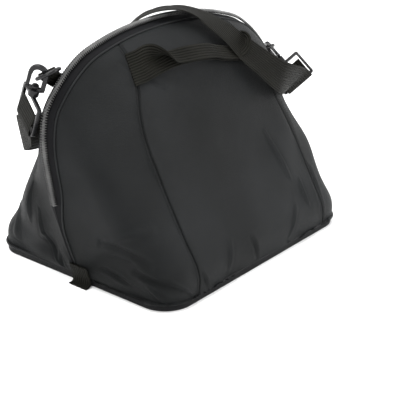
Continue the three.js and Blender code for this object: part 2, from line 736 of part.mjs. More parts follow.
// Snap hook: an eye open on one side, on a barrel bored for the swivel post; the eye's top at the origin
const EYE_INNER = EYE_WIDTH / 2 - EYE_STOCK;
const EYE_TURN = EYE_STOCK / 2 - EYE_WIDTH / 2;
const EYE_FLOOR = EYE_STOCK / 2 - EYE_HEIGHT;
const BARREL_FOOT = EYE_FLOOR - BARREL_LENGTH;
const GATE_TOP = EYE_TURN - GATE_NOSE;
const GATE_FOOT = EYE_FLOOR + GATE_WIDTH / 2 + CLEARANCE;
const GATE_MIDDLE = EYE_WIDTH / 2 - GATE_WIDTH / 2;
function makeHook() {
  const shape = new THREE.Shape();
  const outer = EYE_WIDTH / 2;
  shape.moveTo(-outer, EYE_FLOOR - EYE_STOCK / 2);
  shape.lineTo(-BARREL_RADIUS, EYE_FLOOR - EYE_STOCK);
  shape.lineTo(BARREL_RADIUS, EYE_FLOOR - EYE_STOCK);
  shape.lineTo(outer, EYE_FLOOR - EYE_STOCK / 2);
  shape.lineTo(outer, EYE_FLOOR);
  shape.lineTo(-EYE_INNER, EYE_FLOOR);
  shape.lineTo(-EYE_INNER, EYE_TURN);
  shape.absarc(0, EYE_TURN, EYE_INNER, Math.PI, 0, true);
  shape.lineTo(EYE_INNER, GATE_TOP + CLEARANCE);
  shape.lineTo(outer, GATE_TOP + CLEARANCE);
  shape.lineTo(outer, EYE_TURN);
  shape.absarc(0, EYE_TURN, outer, 0, Math.PI, false);
  shape.closePath();
  const barrel = toSolid(makePost(BARREL_RADIUS, BARREL_FOOT, EYE_FLOOR - EYE_STOCK / 2));
  const bore = toSolid(makePost(POST_RADIUS + CLEARANCE, BARREL_FOOT - 1, EYE_FLOOR + 1));
  return fromSolid(toSolid(makePlate(shape, HOOK_THICKNESS)).add(barrel).subtract(bore));
}

// The gate that closes the eye: a lever with a round foot at its pivot, which is its origin
function makeGate() {
  const half = GATE_WIDTH / 2;
  const shape = new THREE.Shape();
  shape.moveTo(-half, GATE_TOP - GATE_FOOT);
  shape.lineTo(-half, 0);
  shape.absarc(0, 0, half, Math.PI, 2 * Math.PI, false);
  shape.lineTo(half, GATE_TOP - GATE_FOOT);
  shape.closePath();
  return makePlate(shape, HOOK_THICKNESS - 2 * CLEARANCE);
}

// Strap loop: a rectangle of bar with a headed post that turns in the hook's barrel; its near bar is at the
// origin
function makeStrapLoop() {
  const wide = LOOP_WIDTH / 2;
  const shape = new THREE.Shape();
  const corner = LOOP_STOCK * 0.8;
  const near = LOOP_STOCK / 2;
  const far = -LOOP_DEPTH - LOOP_STOCK / 2;
  shape.moveTo(-wide + corner, near);
  shape.absarc(-wide + corner, near - corner, corner, Math.PI / 2, Math.PI, false);
  shape.absarc(-wide + corner, far + corner, corner, Math.PI, 1.5 * Math.PI, false);
  shape.absarc(wide - corner, far + corner, corner, -Math.PI / 2, 0, false);
  shape.absarc(wide - corner, near - corner, corner, 0, Math.PI / 2, false);
  shape.closePath();
  const hole = new THREE.Path();
  const inside = wide - LOOP_STOCK;
  hole.moveTo(-inside, -near);
  hole.lineTo(inside, -near);
  hole.lineTo(inside, far + LOOP_STOCK);
  hole.lineTo(-inside, far + LOOP_STOCK);
  hole.closePath();
  shape.holes.push(hole);
  const headFoot = HOOK_DROP + EYE_FLOOR + CLEARANCE;
  const post = toSolid(makePost(POST_RADIUS, 0, headFoot + 0.1));
  const head = toSolid(makePost(POST_HEAD_RADIUS, headFoot, headFoot + POST_HEAD));
  return fromSolid(toSolid(makePlate(shape, LOOP_STOCK, 3)).add(post).add(head));
}

const loopFrames = {};
for (const [side, place] of Object.entries(RING_PLACES)) {
  const along = (direction) => new THREE.Vector3(...direction).normalize();
  const seamReach = tapeReach(place.along) + RING_SETBACK;
  const root = downShell('back', place.along, seamReach)
    .addScaledVector(shellNormal('back', place.along, seamReach), WEBBING);
  const bar = root.clone().addScaledVector(along(place.rise), place.length);
  const barWay = along(place.bar);
  const ring = makeFrame(bar, along(place.outward).cross(barWay), along(place.outward));
  addPiece(`d_ring_${side}`, makeRing(), 'plastic', ring);
  const seamWay = arch.getTangentAt(place.along);
  addPiece(`ring_tab_${side}`, makeRingTab(root, bar, seamWay, barWay), 'webbing');
  const up = along(place.hang).negate();
  const sideways = along(place.hookFace).cross(up);
  const bow = bowAt(place.bowTurn).applyMatrix4(ring.matrix);
  const eyeTop = bow.addScaledVector(up, place.drop);
  const hook = makeFrame(eyeTop, up, sideways);
  addPiece(`snap_hook_${side}`, makeHook(), 'plastic', hook);
  const gate = addPiece(`hook_gate_${side}`, makeGate(), 'plastic', hook);
  gate.position.set(GATE_MIDDLE, 0, GATE_FOOT);
  const loop = makeFrame(eyeTop.clone().addScaledVector(up, -HOOK_DROP), up, along(place.loopAcross));
  addPiece(`strap_loop_${side}`, makeStrapLoop(), 'plastic', loop);
  loopFrames[side] = loop.matrix;
}

// Shoulder strap: a tail through each strap loop, round its far bar, and one long run between the two
function strapEnd(side, rows, turned) {
  const across = new THREE.Vector3().setFromMatrixColumn(loopFrames[side], 0).multiplyScalar(turned);
  return rows.map(({ out, up }) => ({
    centre: new THREE.Vector3(0, out, up - LOOP_DEPTH).applyMatrix4(loopFrames[side]),
    across,
  }));
}

const strapRun = STRAP_RUN.map((row) => ({
  centre: new THREE.Vector3(
    row.across * ARCH_WIDTH / 2, row.forward * BASE_DEPTH / 2, row.up * ARCH_HEIGHT,
  ),
  across: new THREE.Vector3(...row.width).normalize(),
}));
const strapPath = [
  ...strapEnd('left', STRAP_END_LEFT, 1),
  ...strapRun,
  ...strapEnd('right', STRAP_END_RIGHT, -1).reverse(),
];
const strapCentres = strapPath.map((station) => station.centre);
const strapCurve = new THREE.CatmullRomCurve3(strapCentres, false, 'centripetal');
const strapRings = [];
for (let step = 0; step <= (strapPath.length - 1) * STRAP_SPLIT; step += 1) {
  const share = step / STRAP_SPLIT;
  const station = Math.min(Math.floor(share), strapPath.length - 2);
  const t = share / (strapPath.length - 1);
  const tangent = strapCurve.getTangent(t);
  const across = strapPath[station].across.clone().lerp(strapPath[station + 1].across, share - station);
  across.addScaledVector(tangent, -across.dot(tangent)).normalize();
  const through = new THREE.Vector3().crossVectors(tangent, across);
  strapRings.push(webbingRing(strapCurve.getPoint(t), across, through, STRAP_WIDTH, WEBBING));
}
addPiece('shoulder_strap', makeLoft(strapRings), 'webbing');

// Grab handle: webbing laid flat into both side seams and folded lengthwise between them
function handleSpot(share, distance) {
  const seam = seamAlong(distance / ribLength('front', 0.5)) + 2 * halfSeam;
  return { along: THREE.MathUtils.lerp(seam, 1 - seam, share), distance };
}

const handleRings = HANDLE_SECTIONS.map((row) => {
  const pointAt = ({ along, distance }) => downShell('front', along, distance);
  const middle = HANDLE_DROP + row.drop * HANDLE_WIDTH;
  const spot = handleSpot(row.share, middle);
  const out = shellNormal('front', spot.along, spot.distance);
  const across = pointAt(handleSpot(row.share, middle + 5 * STEP_DOWN))
    .sub(pointAt(handleSpot(row.share, middle - 5 * STEP_DOWN)));
  across.addScaledVector(out, -across.dot(out)).normalize();
  const thickness = row.layers * WEBBING;
  const lift = HANDLE_CLEARANCE + thickness / 2 + row.lift * HANDLE_LIFT;
  const centre = pointAt(spot).addScaledVector(out, lift);
  return webbingRing(centre, across, out, row.width * HANDLE_WIDTH, thickness);
});
addPiece('carry_handle', makeLoft(handleRings), 'webbing');

// Webbing tabs at the zipper's two feet: up the outside of the shell's edge and out along the ground
for (const [name, sign] of [['left', -1], ['right', 1]]) {
  const foot = new THREE.Vector2(BASE_WIDTH / 2 - BAND_INSET + CLEARANCE, 0);
  const knee = new THREE.Vector2(BASE_WIDTH / 2 + PIPING_DIAMETER / 2 + CLEARANCE, FOOT);
  const top = new THREE.Vector2(knee.x + END_TAB_LEAN, END_TAB_HEIGHT);
  const profile = [
    [foot.x, 0],
    [foot.x + END_TAB_REACH, 0],
    [foot.x + END_TAB_REACH, WEBBING],
    [knee.x + WEBBING, WEBBING],
    [knee.x + WEBBING, knee.y],
    [top.x + WEBBING, top.y],
    [top.x, top.y],
    [knee.x, knee.y],
    [foot.x, BAND_HEIGHT / 2],
  ];
  const shape = new THREE.Shape(profile.map(([x, z]) => new THREE.Vector2(sign * x, z)));
  const mesh = addPiece(`zip_end_tab_${name}`, makePlate(shape, END_TAB_WIDTH), 'webbing');
  mesh.position.y = ARCH_SETBACK + END_TAB_SETBACK;
}

// Slider: a channel over the coil with a bridge on its back, which the pull's eye hangs round
function makeSlider() {
  const half = SLIDER_WIDTH / 2;
  const channel = COIL_WIDTH / 2 + CLEARANCE;
  const roof = COIL_HEIGHT + 2 * CLEARANCE;
  const shape = new THREE.Shape();
  shape.moveTo(-half, CLEARANCE);
  shape.lineTo(-half, roof + SLIDER_WALL);
  shape.lineTo(half, roof + SLIDER_WALL);
  shape.lineTo(half, CLEARANCE);
  shape.lineTo(channel, CLEARANCE);
  shape.lineTo(channel, roof);
  shape.lineTo(-channel, roof);
  shape.lineTo(-channel, CLEARANCE);
  shape.closePath();
  const body = toSolid(makePlate(shape, SLIDER_LENGTH));
  const bridge = new THREE.Shape();
  const top = roof + SLIDER_WALL;
  const reach = BRIDGE_LENGTH / 2;
  bridge.moveTo(-reach, top - SLIDER_WALL / 2);
  bridge.lineTo(-reach + BRIDGE_STOCK, top + BRIDGE_HEIGHT);
  bridge.lineTo(reach - BRIDGE_STOCK, top + BRIDGE_HEIGHT);
  bridge.lineTo(reach, top - SLIDER_WALL / 2);
  bridge.closePath();
  const window = new THREE.Path();
  window.moveTo(-reach + BRIDGE_STOCK, top);
  window.lineTo(reach - BRIDGE_STOCK, top);
  window.lineTo(reach - 2 * BRIDGE_STOCK, top + BRIDGE_HEIGHT - BRIDGE_STOCK);
  window.lineTo(-reach + 2 * BRIDGE_STOCK, top + BRIDGE_HEIGHT - BRIDGE_STOCK);
  window.closePath();
  bridge.holes.push(window);
  const arched = makePlate(bridge, BRIDGE_STOCK).rotateZ(Math.PI / 2);
  return fromSolid(body.add(toSolid(arched)));
}

// Pull: a plate with an eye; its crossbar, at the origin, lies under the slider's bridge
function makePull() {
  const half = PULL_WIDTH / 2;
  const shape = new THREE.Shape();
  shape.moveTo(-half, PULL_BAR / 2);
  shape.lineTo(half, PULL_BAR / 2);
  shape.lineTo(half, -PULL_LENGTH + half);
  shape.absarc(0, -PULL_LENGTH + half, half, 0, -Math.PI, true);
  shape.closePath();
  const plate = new THREE.ExtrudeGeometry(shape, { depth: PULL_BAR, bevelEnabled: false, curveSegments: 6 })
    .translate(0, 0, -PULL_BAR / 2);
  const eye = new THREE.BoxGeometry(BRIDGE_STOCK + 4 * CLEARANCE, PULL_EYE, 2 * PULL_BAR)
    .translate(0, -(PULL_BAR + PULL_EYE) / 2, 0);
  return fromSolid(toSolid(plate).subtract(toSolid(eye)));
}

SLIDER_PLACES.forEach((along, index) => {
  const { tangent, out } = archFrame(along);
  const group = makeFrame(arch.getPointAt(along).addScaledVector(out, CLEARANCE), out, tangent);
  const slider = addPiece(`zipper_slider_${index + 1}`, makeSlider(), 'metal', group);
  slider.rotation.z = Math.PI / 2;
  const pull = addPiece(`zipper_pull_${index + 1}`, makePull(), 'metal', group);
  pull.rotation.z = Math.PI / 2;
  pull.position.z = COIL_HEIGHT + 2 * CLEARANCE + SLIDER_WALL + (BRIDGE_HEIGHT - BRIDGE_STOCK) / 2;
});

export default bag;
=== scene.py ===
"""Motorcycle helmet bag of black nylon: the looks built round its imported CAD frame. Shapes are worked out in
millimetres in the frame's own axes, and go into the meshes in metres."""
import math

import bmesh
import bpy
import numpy as np
from mathutils import Matrix, Vector


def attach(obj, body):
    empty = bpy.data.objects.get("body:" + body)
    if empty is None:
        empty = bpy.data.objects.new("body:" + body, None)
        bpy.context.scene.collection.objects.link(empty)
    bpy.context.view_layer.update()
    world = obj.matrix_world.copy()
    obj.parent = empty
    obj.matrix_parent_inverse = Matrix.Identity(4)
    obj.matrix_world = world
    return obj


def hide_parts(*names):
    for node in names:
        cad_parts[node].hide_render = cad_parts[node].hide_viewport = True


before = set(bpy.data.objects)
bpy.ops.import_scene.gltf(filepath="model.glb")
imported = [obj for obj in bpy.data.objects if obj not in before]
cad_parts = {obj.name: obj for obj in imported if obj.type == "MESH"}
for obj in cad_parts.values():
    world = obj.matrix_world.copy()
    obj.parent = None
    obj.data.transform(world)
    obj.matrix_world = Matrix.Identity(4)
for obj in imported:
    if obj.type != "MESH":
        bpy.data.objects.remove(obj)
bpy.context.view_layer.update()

# Camera. It stands to the left of the front and looks down on the bag, as far off as the photograph's own
# perspective asks, with a short telephoto lens and a slight roll.
AIM = Vector((0.04917, 0.0, 0.02592))
AZIMUTH = math.radians(-49.82)
ELEVATION = math.radians(22.16)
ROLL = math.radians(-0.7)
DISTANCE = 1.10823
LENS = 81.0

towards = Vector((
    math.sin(AZIMUTH) * math.cos(ELEVATION),
    -math.cos(AZIMUTH) * math.cos(ELEVATION),
    math.sin(ELEVATION),
))
lens = bpy.data.cameras.new("camera")
lens.lens = LENS
lens.sensor_width = 36.0
lens.clip_end = 20.0
camera = bpy.data.objects.new("camera", lens)
facing = towards.to_track_quat("Z", "Y").to_matrix().to_4x4() @ Matrix.Rotation(ROLL, 4, "Z")
camera.matrix_world = Matrix.Translation(AIM + towards * DISTANCE) @ facing
bpy.context.collection.objects.link(camera)
bpy.context.scene.camera = camera

# Front of the bag. Three panels of black nylon twill: two side gores and a wide centre panel, sewn together
# along two top-stitched seams, bound to the zipper above and to the base below. The cloth stands by itself
# and is slack, with soft dents and a few sharp creases near its seams.
MM = 0.001
BASE_WIDTH = 322.0
BASE_DEPTH = 272.0
BASE_CORNER = 34.0
BAND_HEIGHT = 9.0
CLEARANCE = 0.3
FOOT = BAND_HEIGHT + CLEARANCE
ARCH_HEIGHT = 258.0
ARCH_WIDTH = 374.0
ARCH_SETBACK = -5.0
ARCH_LEAN = 13.0
CLOTH = 2.0
FOOT_SHARE = 0.02
TAPE_REACH = 12.0
TAPE_TUCKED = 2.5
TAPE_NARROW = 0.07
TAPE_FULL = 0.15
PIPING_DIAMETER = 2.6
SEAM_TUCK = 1.0
SEAM_ROUND = 1.6
RIB_STEPS = 48
SWELL = 2.5
SWELL_LEVEL = 0.11
SWELL_RUN = 0.09
SWELL_FADE = 0.08
TOP_FADE = 0.04
CREASE_RUN = 300.0
BANK_SHARE = 0.35
BANK_PLACE = 1.8
SEAM_CALM = 12.0
WALL_ROWS = 150
FRONT_COLUMNS = 150

# Half-width of the zipper arch at each height, as shares of half its width and of its height
ARCH_OUTLINE = np.array([
    (0.0, 0.861), (0.14, 0.92), (0.28, 0.962), (0.43, 0.986), (0.58, 1.0), (0.66, 0.99), (0.733, 0.961),
    (0.797, 0.893), (0.86, 0.797), (0.915, 0.679), (0.951, 0.53), (0.977, 0.37), (0.993, 0.19), (1.0, 0.0),
])
# Reach of the walls away from the arch: share of the wall's height, share of its whole reach
PROFILE = {
    "front": np.array([
        (0.0, 1.0), (0.08, 0.995), (0.16, 0.96), (0.27, 0.87), (0.38, 0.775), (0.53, 0.64),
        (0.66, 0.52), (0.81, 0.4), (0.885, 0.31), (0.94, 0.215), (0.975, 0.12), (1.0, 0.0),
    ]),
    "back": np.array([
        (0.0, 1.0), (0.1, 0.97), (0.2, 0.85), (0.35, 0.66), (0.5, 0.52),
        (0.65, 0.41), (0.8, 0.31), (0.9, 0.22), (0.96, 0.13), (1.0, 0.0),
    ]),
}
# The side seam of the front: share of the way down, share of the arch's length
SEAM_LINE = np.array([(0.0, 0.385), (0.15, 0.363), (0.29, 0.334), (0.53, 0.312), (0.78, 0.297), (1.0, 0.288)])
# Dents: place along the arch and up the wall, breadth and run as shares, lean in degrees, depth outwards in mm
FOLDS = {
    "front": [
        (0.16, 0.3, 0.06, 0.12, 30, -5), (0.762, 0.74, 0.08, 0.2, 0, -17), (0.8, 0.25, 0.08, 0.2, 0, -7),
    ],
    "back": [
        (0.09, 0.35, 0.03, 0.25, 0, -7), (0.22, 0.2, 0.08, 0.2, 0, -7), (0.235, 0.74, 0.06, 0.2, 0, -14),
    ],
}
# Creases: from and to as (share along the arch, share up the wall), half-width and height in mm
CREASES = {
    "front": [
        ((0.60, 0.50), (0.625, 0.28), 3.0, 1.8),
        ((0.655, 0.26), (0.66, 0.14), 2.6, 1.6),
        ((0.615, 0.16), (0.575, 0.03), 3.0, 1.8),
        ((0.705, 0.30), (0.70, 0.08), 4.0, -2.0),
        ((0.455, 0.12), (0.47, 0.02), 4.0, -2.4),
        ((0.40, 0.16), (0.38, 0.03), 3.5, 1.6),
        ((0.13, 0.52), (0.21, 0.24), 7.0, -2.8),
        ((0.14, 0.50), (0.25, 0.38), 6.0, 2.0),
        ((0.17, 0.22), (0.245, 0.08), 5.0, -2.4),
        ((0.19, 0.12), (0.215, 0.02), 3.0, 1.6),
        ((0.235, 0.13), (0.275, 0.02), 3.0, 1.8),
        ((0.30, 0.10), (0.315, 0.01), 3.0, -2.2),
        ((0.08, 0.30), (0.15, 0.10), 6.0, -2.0),
        ((0.36, 0.93), (0.40, 0.80), 4.0, -1.2),
    ],
    "back": [
        ((0.20, 0.62), (0.17, 0.36), 4.0, 2.6),
        ((0.15, 0.60), (0.12, 0.34), 4.0, 2.2),
        ((0.12, 0.40), (0.055, 0.16), 4.0, 2.4),
        ((0.06, 0.45), (0.04, 0.14), 5.0, -3.4),
        ((0.24, 0.30), (0.18, 0.10), 6.0, 2.4),
        ((0.40, 0.70), (0.33, 0.30), 8.0, -3.0),
        ((0.60, 0.70), (0.68, 0.30), 8.0, -3.0),
        ((0.50, 0.55), (0.48, 0.15), 8.0, 2.6),
        ((0.78, 0.62), (0.83, 0.34), 5.0, 2.4),
        ((0.88, 0.42), (0.94, 0.16), 4.0, 2.2),
    ],
}


def smooth_step(value, low, high):
    """0 below low, 1 above high, and 3t^2 - 2t^3 between."""
    t = np.clip((value - low) / (high - low), 0.0, 1.0)
    return t * t * (3.0 - 2.0 * t)


def read_table(rows, value):
    """A cubic between each two rows, whose slope at a row is that of the line through its neighbours."""
    value = np.asarray(value, float)
    x, y = rows[:, 0], rows[:, 1]
    k = np.arange(len(rows))
    before, after = np.maximum(k - 1, 0), np.minimum(k + 1, len(rows) - 1)
    slope = (y[after] - y[before]) / (x[after] - x[before])
    i = np.clip(np.searchsorted(x, value, side="left") - 1, 0, len(rows) - 2)
    span = x[i + 1] - x[i]
    t = np.clip((value - x[i]) / span, 0.0, 1.0)
    bend = t * t * (3.0 - 2.0 * t)
    rise, fall = slope[i] * span, slope[i + 1] * span
    return y[i] * (1 - bend) + y[i + 1] * bend + rise * t * (1 - t) ** 2 - fall * t * t * (1 - t)


def spline(points, t):
    """A centripetal curve through the points: each span is a cubic whose end slopes weigh the chords beside it
    by the square roots of their lengths."""
    points = np.asarray(points, float)
    padded = np.vstack([2 * points[0] - points[1], points, 2 * points[-1] - points[-2]])
    step = np.clip(np.asarray(t, float), 0.0, 1.0) * (len(points) - 1)
    i = np.minimum(step.astype(int), len(points) - 2)
    s = (step - i)[:, None]
    a, b, c, d = padded[i], padded[i + 1], padded[i + 2], padded[i + 3]
    root = lambda p, q: np.sqrt(np.linalg.norm(q - p, axis=1))[:, None]
    ab, bc, cd = root(a, b), root(b, c), root(c, d)
    into = ((b - a) / ab - (c - a) / (ab + bc) + (c - b) / bc) * bc
    out = ((c - b) / bc - (d - b) / (bc + cd) + (d - c) / cd) * bc
    return b + into * s + (-3 * b + 3 * c - 2 * into - out) * s * s + (2 * b - 2 * c + into + out) * s ** 3


def by_length(points):
    """The points' own shares of the whole length of the line through them."""
    steps = np.linalg.norm(np.diff(points, axis=0), axis=1)
    return np.concatenate([[0.0], np.cumsum(steps)]) / steps.sum(), steps.sum()


def unit(vectors):
    """Vectors at length one."""
    return vectors / np.maximum(np.linalg.norm(vectors, axis=-1, keepdims=True), 1e-9)


left_half = np.column_stack([
    -ARCH_OUTLINE[:, 1] * ARCH_WIDTH / 2,
    ARCH_SETBACK + ARCH_LEAN * ARCH_OUTLINE[:, 0],
    FOOT + (ARCH_HEIGHT - FOOT) * ARCH_OUTLINE[:, 0],
])
arch_line = spline(np.vstack([left_half, (left_half * (-1, 1, 1))[-2::-1]]), np.linspace(0, 1, 3001))
arch_shares, ARCH_LENGTH = by_length(arch_line)


def arch_at(along):
    """The zipper's line at shares of its length, from the left foot over the top to the right foot."""
    return np.stack([np.interp(along, arch_shares, arch_line[:, k]) for k in range(3)], axis=-1)


def base_half(side):
    """Half of the base's outline: straight sides with a quarter circle at each corner."""
    wide, edge = BASE_WIDTH / 2, BASE_DEPTH / 2
    turn = np.linspace(0, math.pi / 2, 60)
    corner = np.column_stack([
        -wide + BASE_CORNER * (1 - np.cos(turn)),
        side * (edge - BASE_CORNER * (1 - np.sin(turn))),
    ])
    half = np.vstack([[-wide, ARCH_SETBACK], corner])
    return np.vstack([half, (half * (-1, 1))[::-1]])


OUTLINE = {"front": base_half(-1), "back": base_half(1)}
SIDE = {"front": -1.0, "back": 1.0}
outline_shares = {face: by_length(line)[0] for face, line in OUTLINE.items()}


def outline_at(face, along):
    """The base's edge at shares of its half length, and the way out of it."""
    line, shares = OUTLINE[face], outline_shares[face]
    read = lambda share: np.stack([np.interp(share, shares, line[:, k]) for k in range(2)], axis=-1)
    tangent = unit(read(np.minimum(along + 0.0005, 1.0)) - read(np.maximum(along - 0.0005, 0.0)))
    return read(along), SIDE[face] * np.stack([-tangent[..., 1], tangent[..., 0]], axis=-1)


def dents(face, along, height):
    """The sum of the soft dents, each a leaning bell."""
    depth = np.zeros(np.broadcast(along, height).shape)
    for place, level, breadth, run, lean, size in FOLDS[face]:
        c, s = math.cos(math.radians(lean)), math.sin(math.radians(lean))
        across = (along - place) * c + (height - level) * s
        down = (height - level) * c - (along - place) * s
        depth += size * np.exp(-((across / breadth) ** 2) - (down / run) ** 2)
    return depth


def shell(face, along, height):
    """The wall's point: the arch and the base's edge joined by the profile, pushed out by belly and dents."""
    top = arch_at(along)
    foot, out = outline_at(face, along)
    reach = read_table(PROFILE[face], height)
    fade = smooth_step(np.minimum(along, 1 - along), 0.0, SWELL_FADE)
    belly = SWELL * np.exp(-(((height - SWELL_LEVEL) / SWELL_RUN) ** 2))
    push = fade * (belly + dents(face, along, height)) * smooth_step(1 - height, 0.0, TOP_FADE)
    flat = top[..., :2] * (1 - reach)[..., None] + foot * reach[..., None] + out * push[..., None]
    return np.concatenate([flat, (FOOT + (top[..., 2] - FOOT) * height)[..., None]], axis=-1)


def rib_heights(face, along, distance):
    """The share of height that lies a distance down the cloth from the zipper, column by column."""
    steps = 1 - (np.arange(RIB_STEPS + 1) / RIB_STEPS) ** 1.7
    line = shell(face, along[:, None] + 0 * steps, steps + 0 * along[:, None])
    run = np.linalg.norm(np.diff(line, axis=1), axis=2).cumsum(axis=1)
    run = np.concatenate([np.zeros((len(along), 1)), run], axis=1)
    picked = [np.interp(row, lengths, steps) for row, lengths in zip(distance, run)]
    return np.array(picked), run[:, -1]


def down_shell(face, along, distance):
    """Points of the wall at shares along the arch and distances down from the zipper, in grids of one shape."""
    flat_along, flat_down = np.ravel(along), np.ravel(distance)
    height, _ = rib_heights(face, flat_along, flat_down[:, None])
    return shell(face, flat_along, height[:, 0]).reshape(np.shape(along) + (3,))


def shell_normal(face, along, distance):
    """The way out of the wall, from small steps along it and down it."""
    sideways = down_shell(face, along + 0.002, distance) - down_shell(face, along - 0.002, distance)
    down = down_shell(face, along, distance + 1) - down_shell(face, along, np.maximum(distance - 1, 0))
    return unit(np.cross(down, sideways)) * -SIDE[face]


def tape_reach(along):
    """Half-width of the zipper's tape that shows: it tucks under the walls towards the feet of the arch."""
    from_foot = np.minimum(along, 1 - along)
    return TAPE_TUCKED + (TAPE_REACH - TAPE_TUCKED) * smooth_step(from_foot, TAPE_NARROW, TAPE_FULL)


def creases(face, along, height, run):
    """Creases of the cloth: a ridge, or a groove with a low bank on each side, along each short line. Its share
    up the wall is measured on a wall of CREASE_RUN mm. Three sine waves, 0.3 to 0.9 mm high, add the shallow
    swell that slack cloth keeps; they fade out towards the zipper."""
    x, y = along * ARCH_LENGTH, height * run
    total = np.zeros_like(x)
    for start, end, half, size in CREASES[face]:
        a = np.array([start[0] * ARCH_LENGTH, start[1] * CREASE_RUN])
        b = np.array([end[0] * ARCH_LENGTH, end[1] * CREASE_RUN])
        way = b - a
        px, py = x - a[0], height * CREASE_RUN - a[1]
        t = np.clip((px * way[0] + py * way[1]) / (way @ way), 0, 1)
        off = np.hypot(px - t * way[0], py - t * way[1]) / half
        ends = 0.35 + 0.65 * np.sin(np.pi * np.clip(t, 0.02, 0.98))
        total += size * ends * (np.exp(-off ** 2) - BANK_SHARE * np.exp(-((off - BANK_PLACE) ** 2)))
    waves = 0.9 * np.sin(x / 31 + 1.3 * np.sin(y / 47)) * np.sin(y / 39 + 0.7)
    waves += 0.45 * np.sin(x / 13.7 - y / 21 + 2.1) + 0.3 * np.sin(y / 11.3 + x / 26)
    return total + waves * smooth_step(1 - height, 0.02, 0.25)


def closed_sheet(outer, inner):
    """Vertices and quads of a sheet with two faces and four rims, from two grids of points."""
    rows, columns = outer.shape[:2]
    index = np.arange(rows * columns).reshape(rows, columns)
    back = index + rows * columns
    quads = [
        np.stack([index[:-1, :-1], index[1:, :-1], index[1:, 1:], index[:-1, 1:]], -1).reshape(-1, 4),
        np.stack([back[:-1, :-1], back[:-1, 1:], back[1:, 1:], back[1:, :-1]], -1).reshape(-1, 4),
    ]
    around = np.concatenate([index[:-1, 0], index[-1, :-1], index[:0:-1, -1], index[0, :0:-1]])
    onward = np.roll(around, -1)
    quads.append(np.stack([around, around + rows * columns, onward + rows * columns, onward], -1))
    return np.vstack([outer.reshape(-1, 3), inner.reshape(-1, 3)]), np.vstack(quads)


def outward(points, quads):
    """The quads, turned round if the volume that they close comes out negative."""
    a, b, c, d = (points[quads[:, k]] for k in range(4))
    volume = np.einsum("ij,ij->", a, np.cross(b, c)) + np.einsum("ij,ij->", a, np.cross(c, d))
    return quads[:, ::-1] if volume < 0 else quads


def add_piece(name, points, faces, material, nodes, uv=None, body="root"):
    """An object in metres from points in millimetres, that rides on a body and stands for CAD nodes."""
    mesh = bpy.data.meshes.new(name)
    mesh.from_pydata((points * MM).tolist(), [], [list(face) for face in faces])
    mesh.polygons.foreach_set("use_smooth", np.ones(len(mesh.polygons), dtype=bool))
    if uv is not None:
        corners = np.empty(len(mesh.loops), dtype=np.int32)
        mesh.loops.foreach_get("vertex_index", corners)
        layer = mesh.uv_layers.new(name="cloth")
        layer.data.foreach_set("uv", (uv * MM)[corners].ravel())
    mesh.materials.append(material)
    mesh.update()
    piece = bpy.data.objects.new(name, mesh)
    bpy.context.collection.objects.link(piece)
    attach(piece, body)
    if nodes:
        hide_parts(*nodes)
    return piece


def new_group(name, inputs, outputs):
    """An empty shader node group with float or vector sockets."""
    group = bpy.data.node_groups.new(name, "ShaderNodeTree")
    for label, kind, value in inputs:
        socket = group.interface.new_socket(label, in_out="INPUT", socket_type=kind)
        if value is not None:
            socket.default_value = value
    for label, kind in outputs:
        group.interface.new_socket(label, in_out="OUTPUT", socket_type=kind)
    return group, group.nodes.new("NodeGroupInput"), group.nodes.new("NodeGroupOutput")


def calculate(tree, operation, *values):
    """A Math node on numbers or sockets; gives its output."""
    node = tree.nodes.new("ShaderNodeMath")
    node.operation = operation
    for socket, value in zip(node.inputs, values):
        if isinstance(value, bpy.types.NodeSocket):
            tree.links.new(value, socket)
        else:
            socket.default_value = value
    return node.outputs[0]


def twill_group():
    """Diagonal lines of a fine twill, each broken by the threads that cross it."""
    group, start, end = new_group(
        "twill_weave",
        [("Vector", "NodeSocketVector", None), ("Lines per metre", "NodeSocketFloat", 900.0)],
        [("Height", "NodeSocketFloat")],
    )
    parts = group.nodes.new("ShaderNodeSeparateXYZ")
    group.links.new(start.outputs["Vector"], parts.inputs[0])
    u = calculate(group, "MULTIPLY", parts.outputs["X"], start.outputs["Lines per metre"])
    v = calculate(group, "MULTIPLY", parts.outputs["Y"], start.outputs["Lines per metre"])
    slant = calculate(group, "SINE", calculate(group, "MULTIPLY", calculate(group, "ADD", u, v), math.tau))
    cross = calculate(group, "SINE", calculate(group, "MULTIPLY", u, 2 * math.tau))
    height = calculate(group, "ADD", slant, calculate(group, "MULTIPLY", cross, 0.35))
    group.links.new(height, end.inputs["Height"])
    return group


def wear_group():
    """Slow clouds and fine specks over a piece, for tint, dust and rubbing."""
    group, start, end = new_group(
        "worn_surface",
        [("Vector", "NodeSocketVector", None), ("Cloud scale", "NodeSocketFloat", 9.0),
         ("Speck scale", "NodeSocketFloat", 420.0)],
        [("Clouds", "NodeSocketFloat"), ("Specks", "NodeSocketFloat")],
    )
    for label, scale, detail in (("Clouds", "Cloud scale", 4.0), ("Specks", "Speck scale", 2.0)):
        noise = group.nodes.new("ShaderNodeTexNoise")
        noise.inputs["Detail"].default_value = detail
        group.links.new(start.outputs["Vector"], noise.inputs["Vector"])
        group.links.new(start.outputs[scale], noise.inputs["Scale"])
        group.links.new(noise.outputs["Fac"], end.inputs[label])
    return group


TWILL = twill_group()
WEAR = wear_group()


def use_group(tree, group, vector, **values):
    """The group's node in a material, fed with coordinates and its own values."""
    node = tree.nodes.new("ShaderNodeGroup")
    node.node_tree = group
    tree.links.new(vector, node.inputs["Vector"])
    for label, value in values.items():
        node.inputs[label.replace("_", " ")].default_value = value
    return node


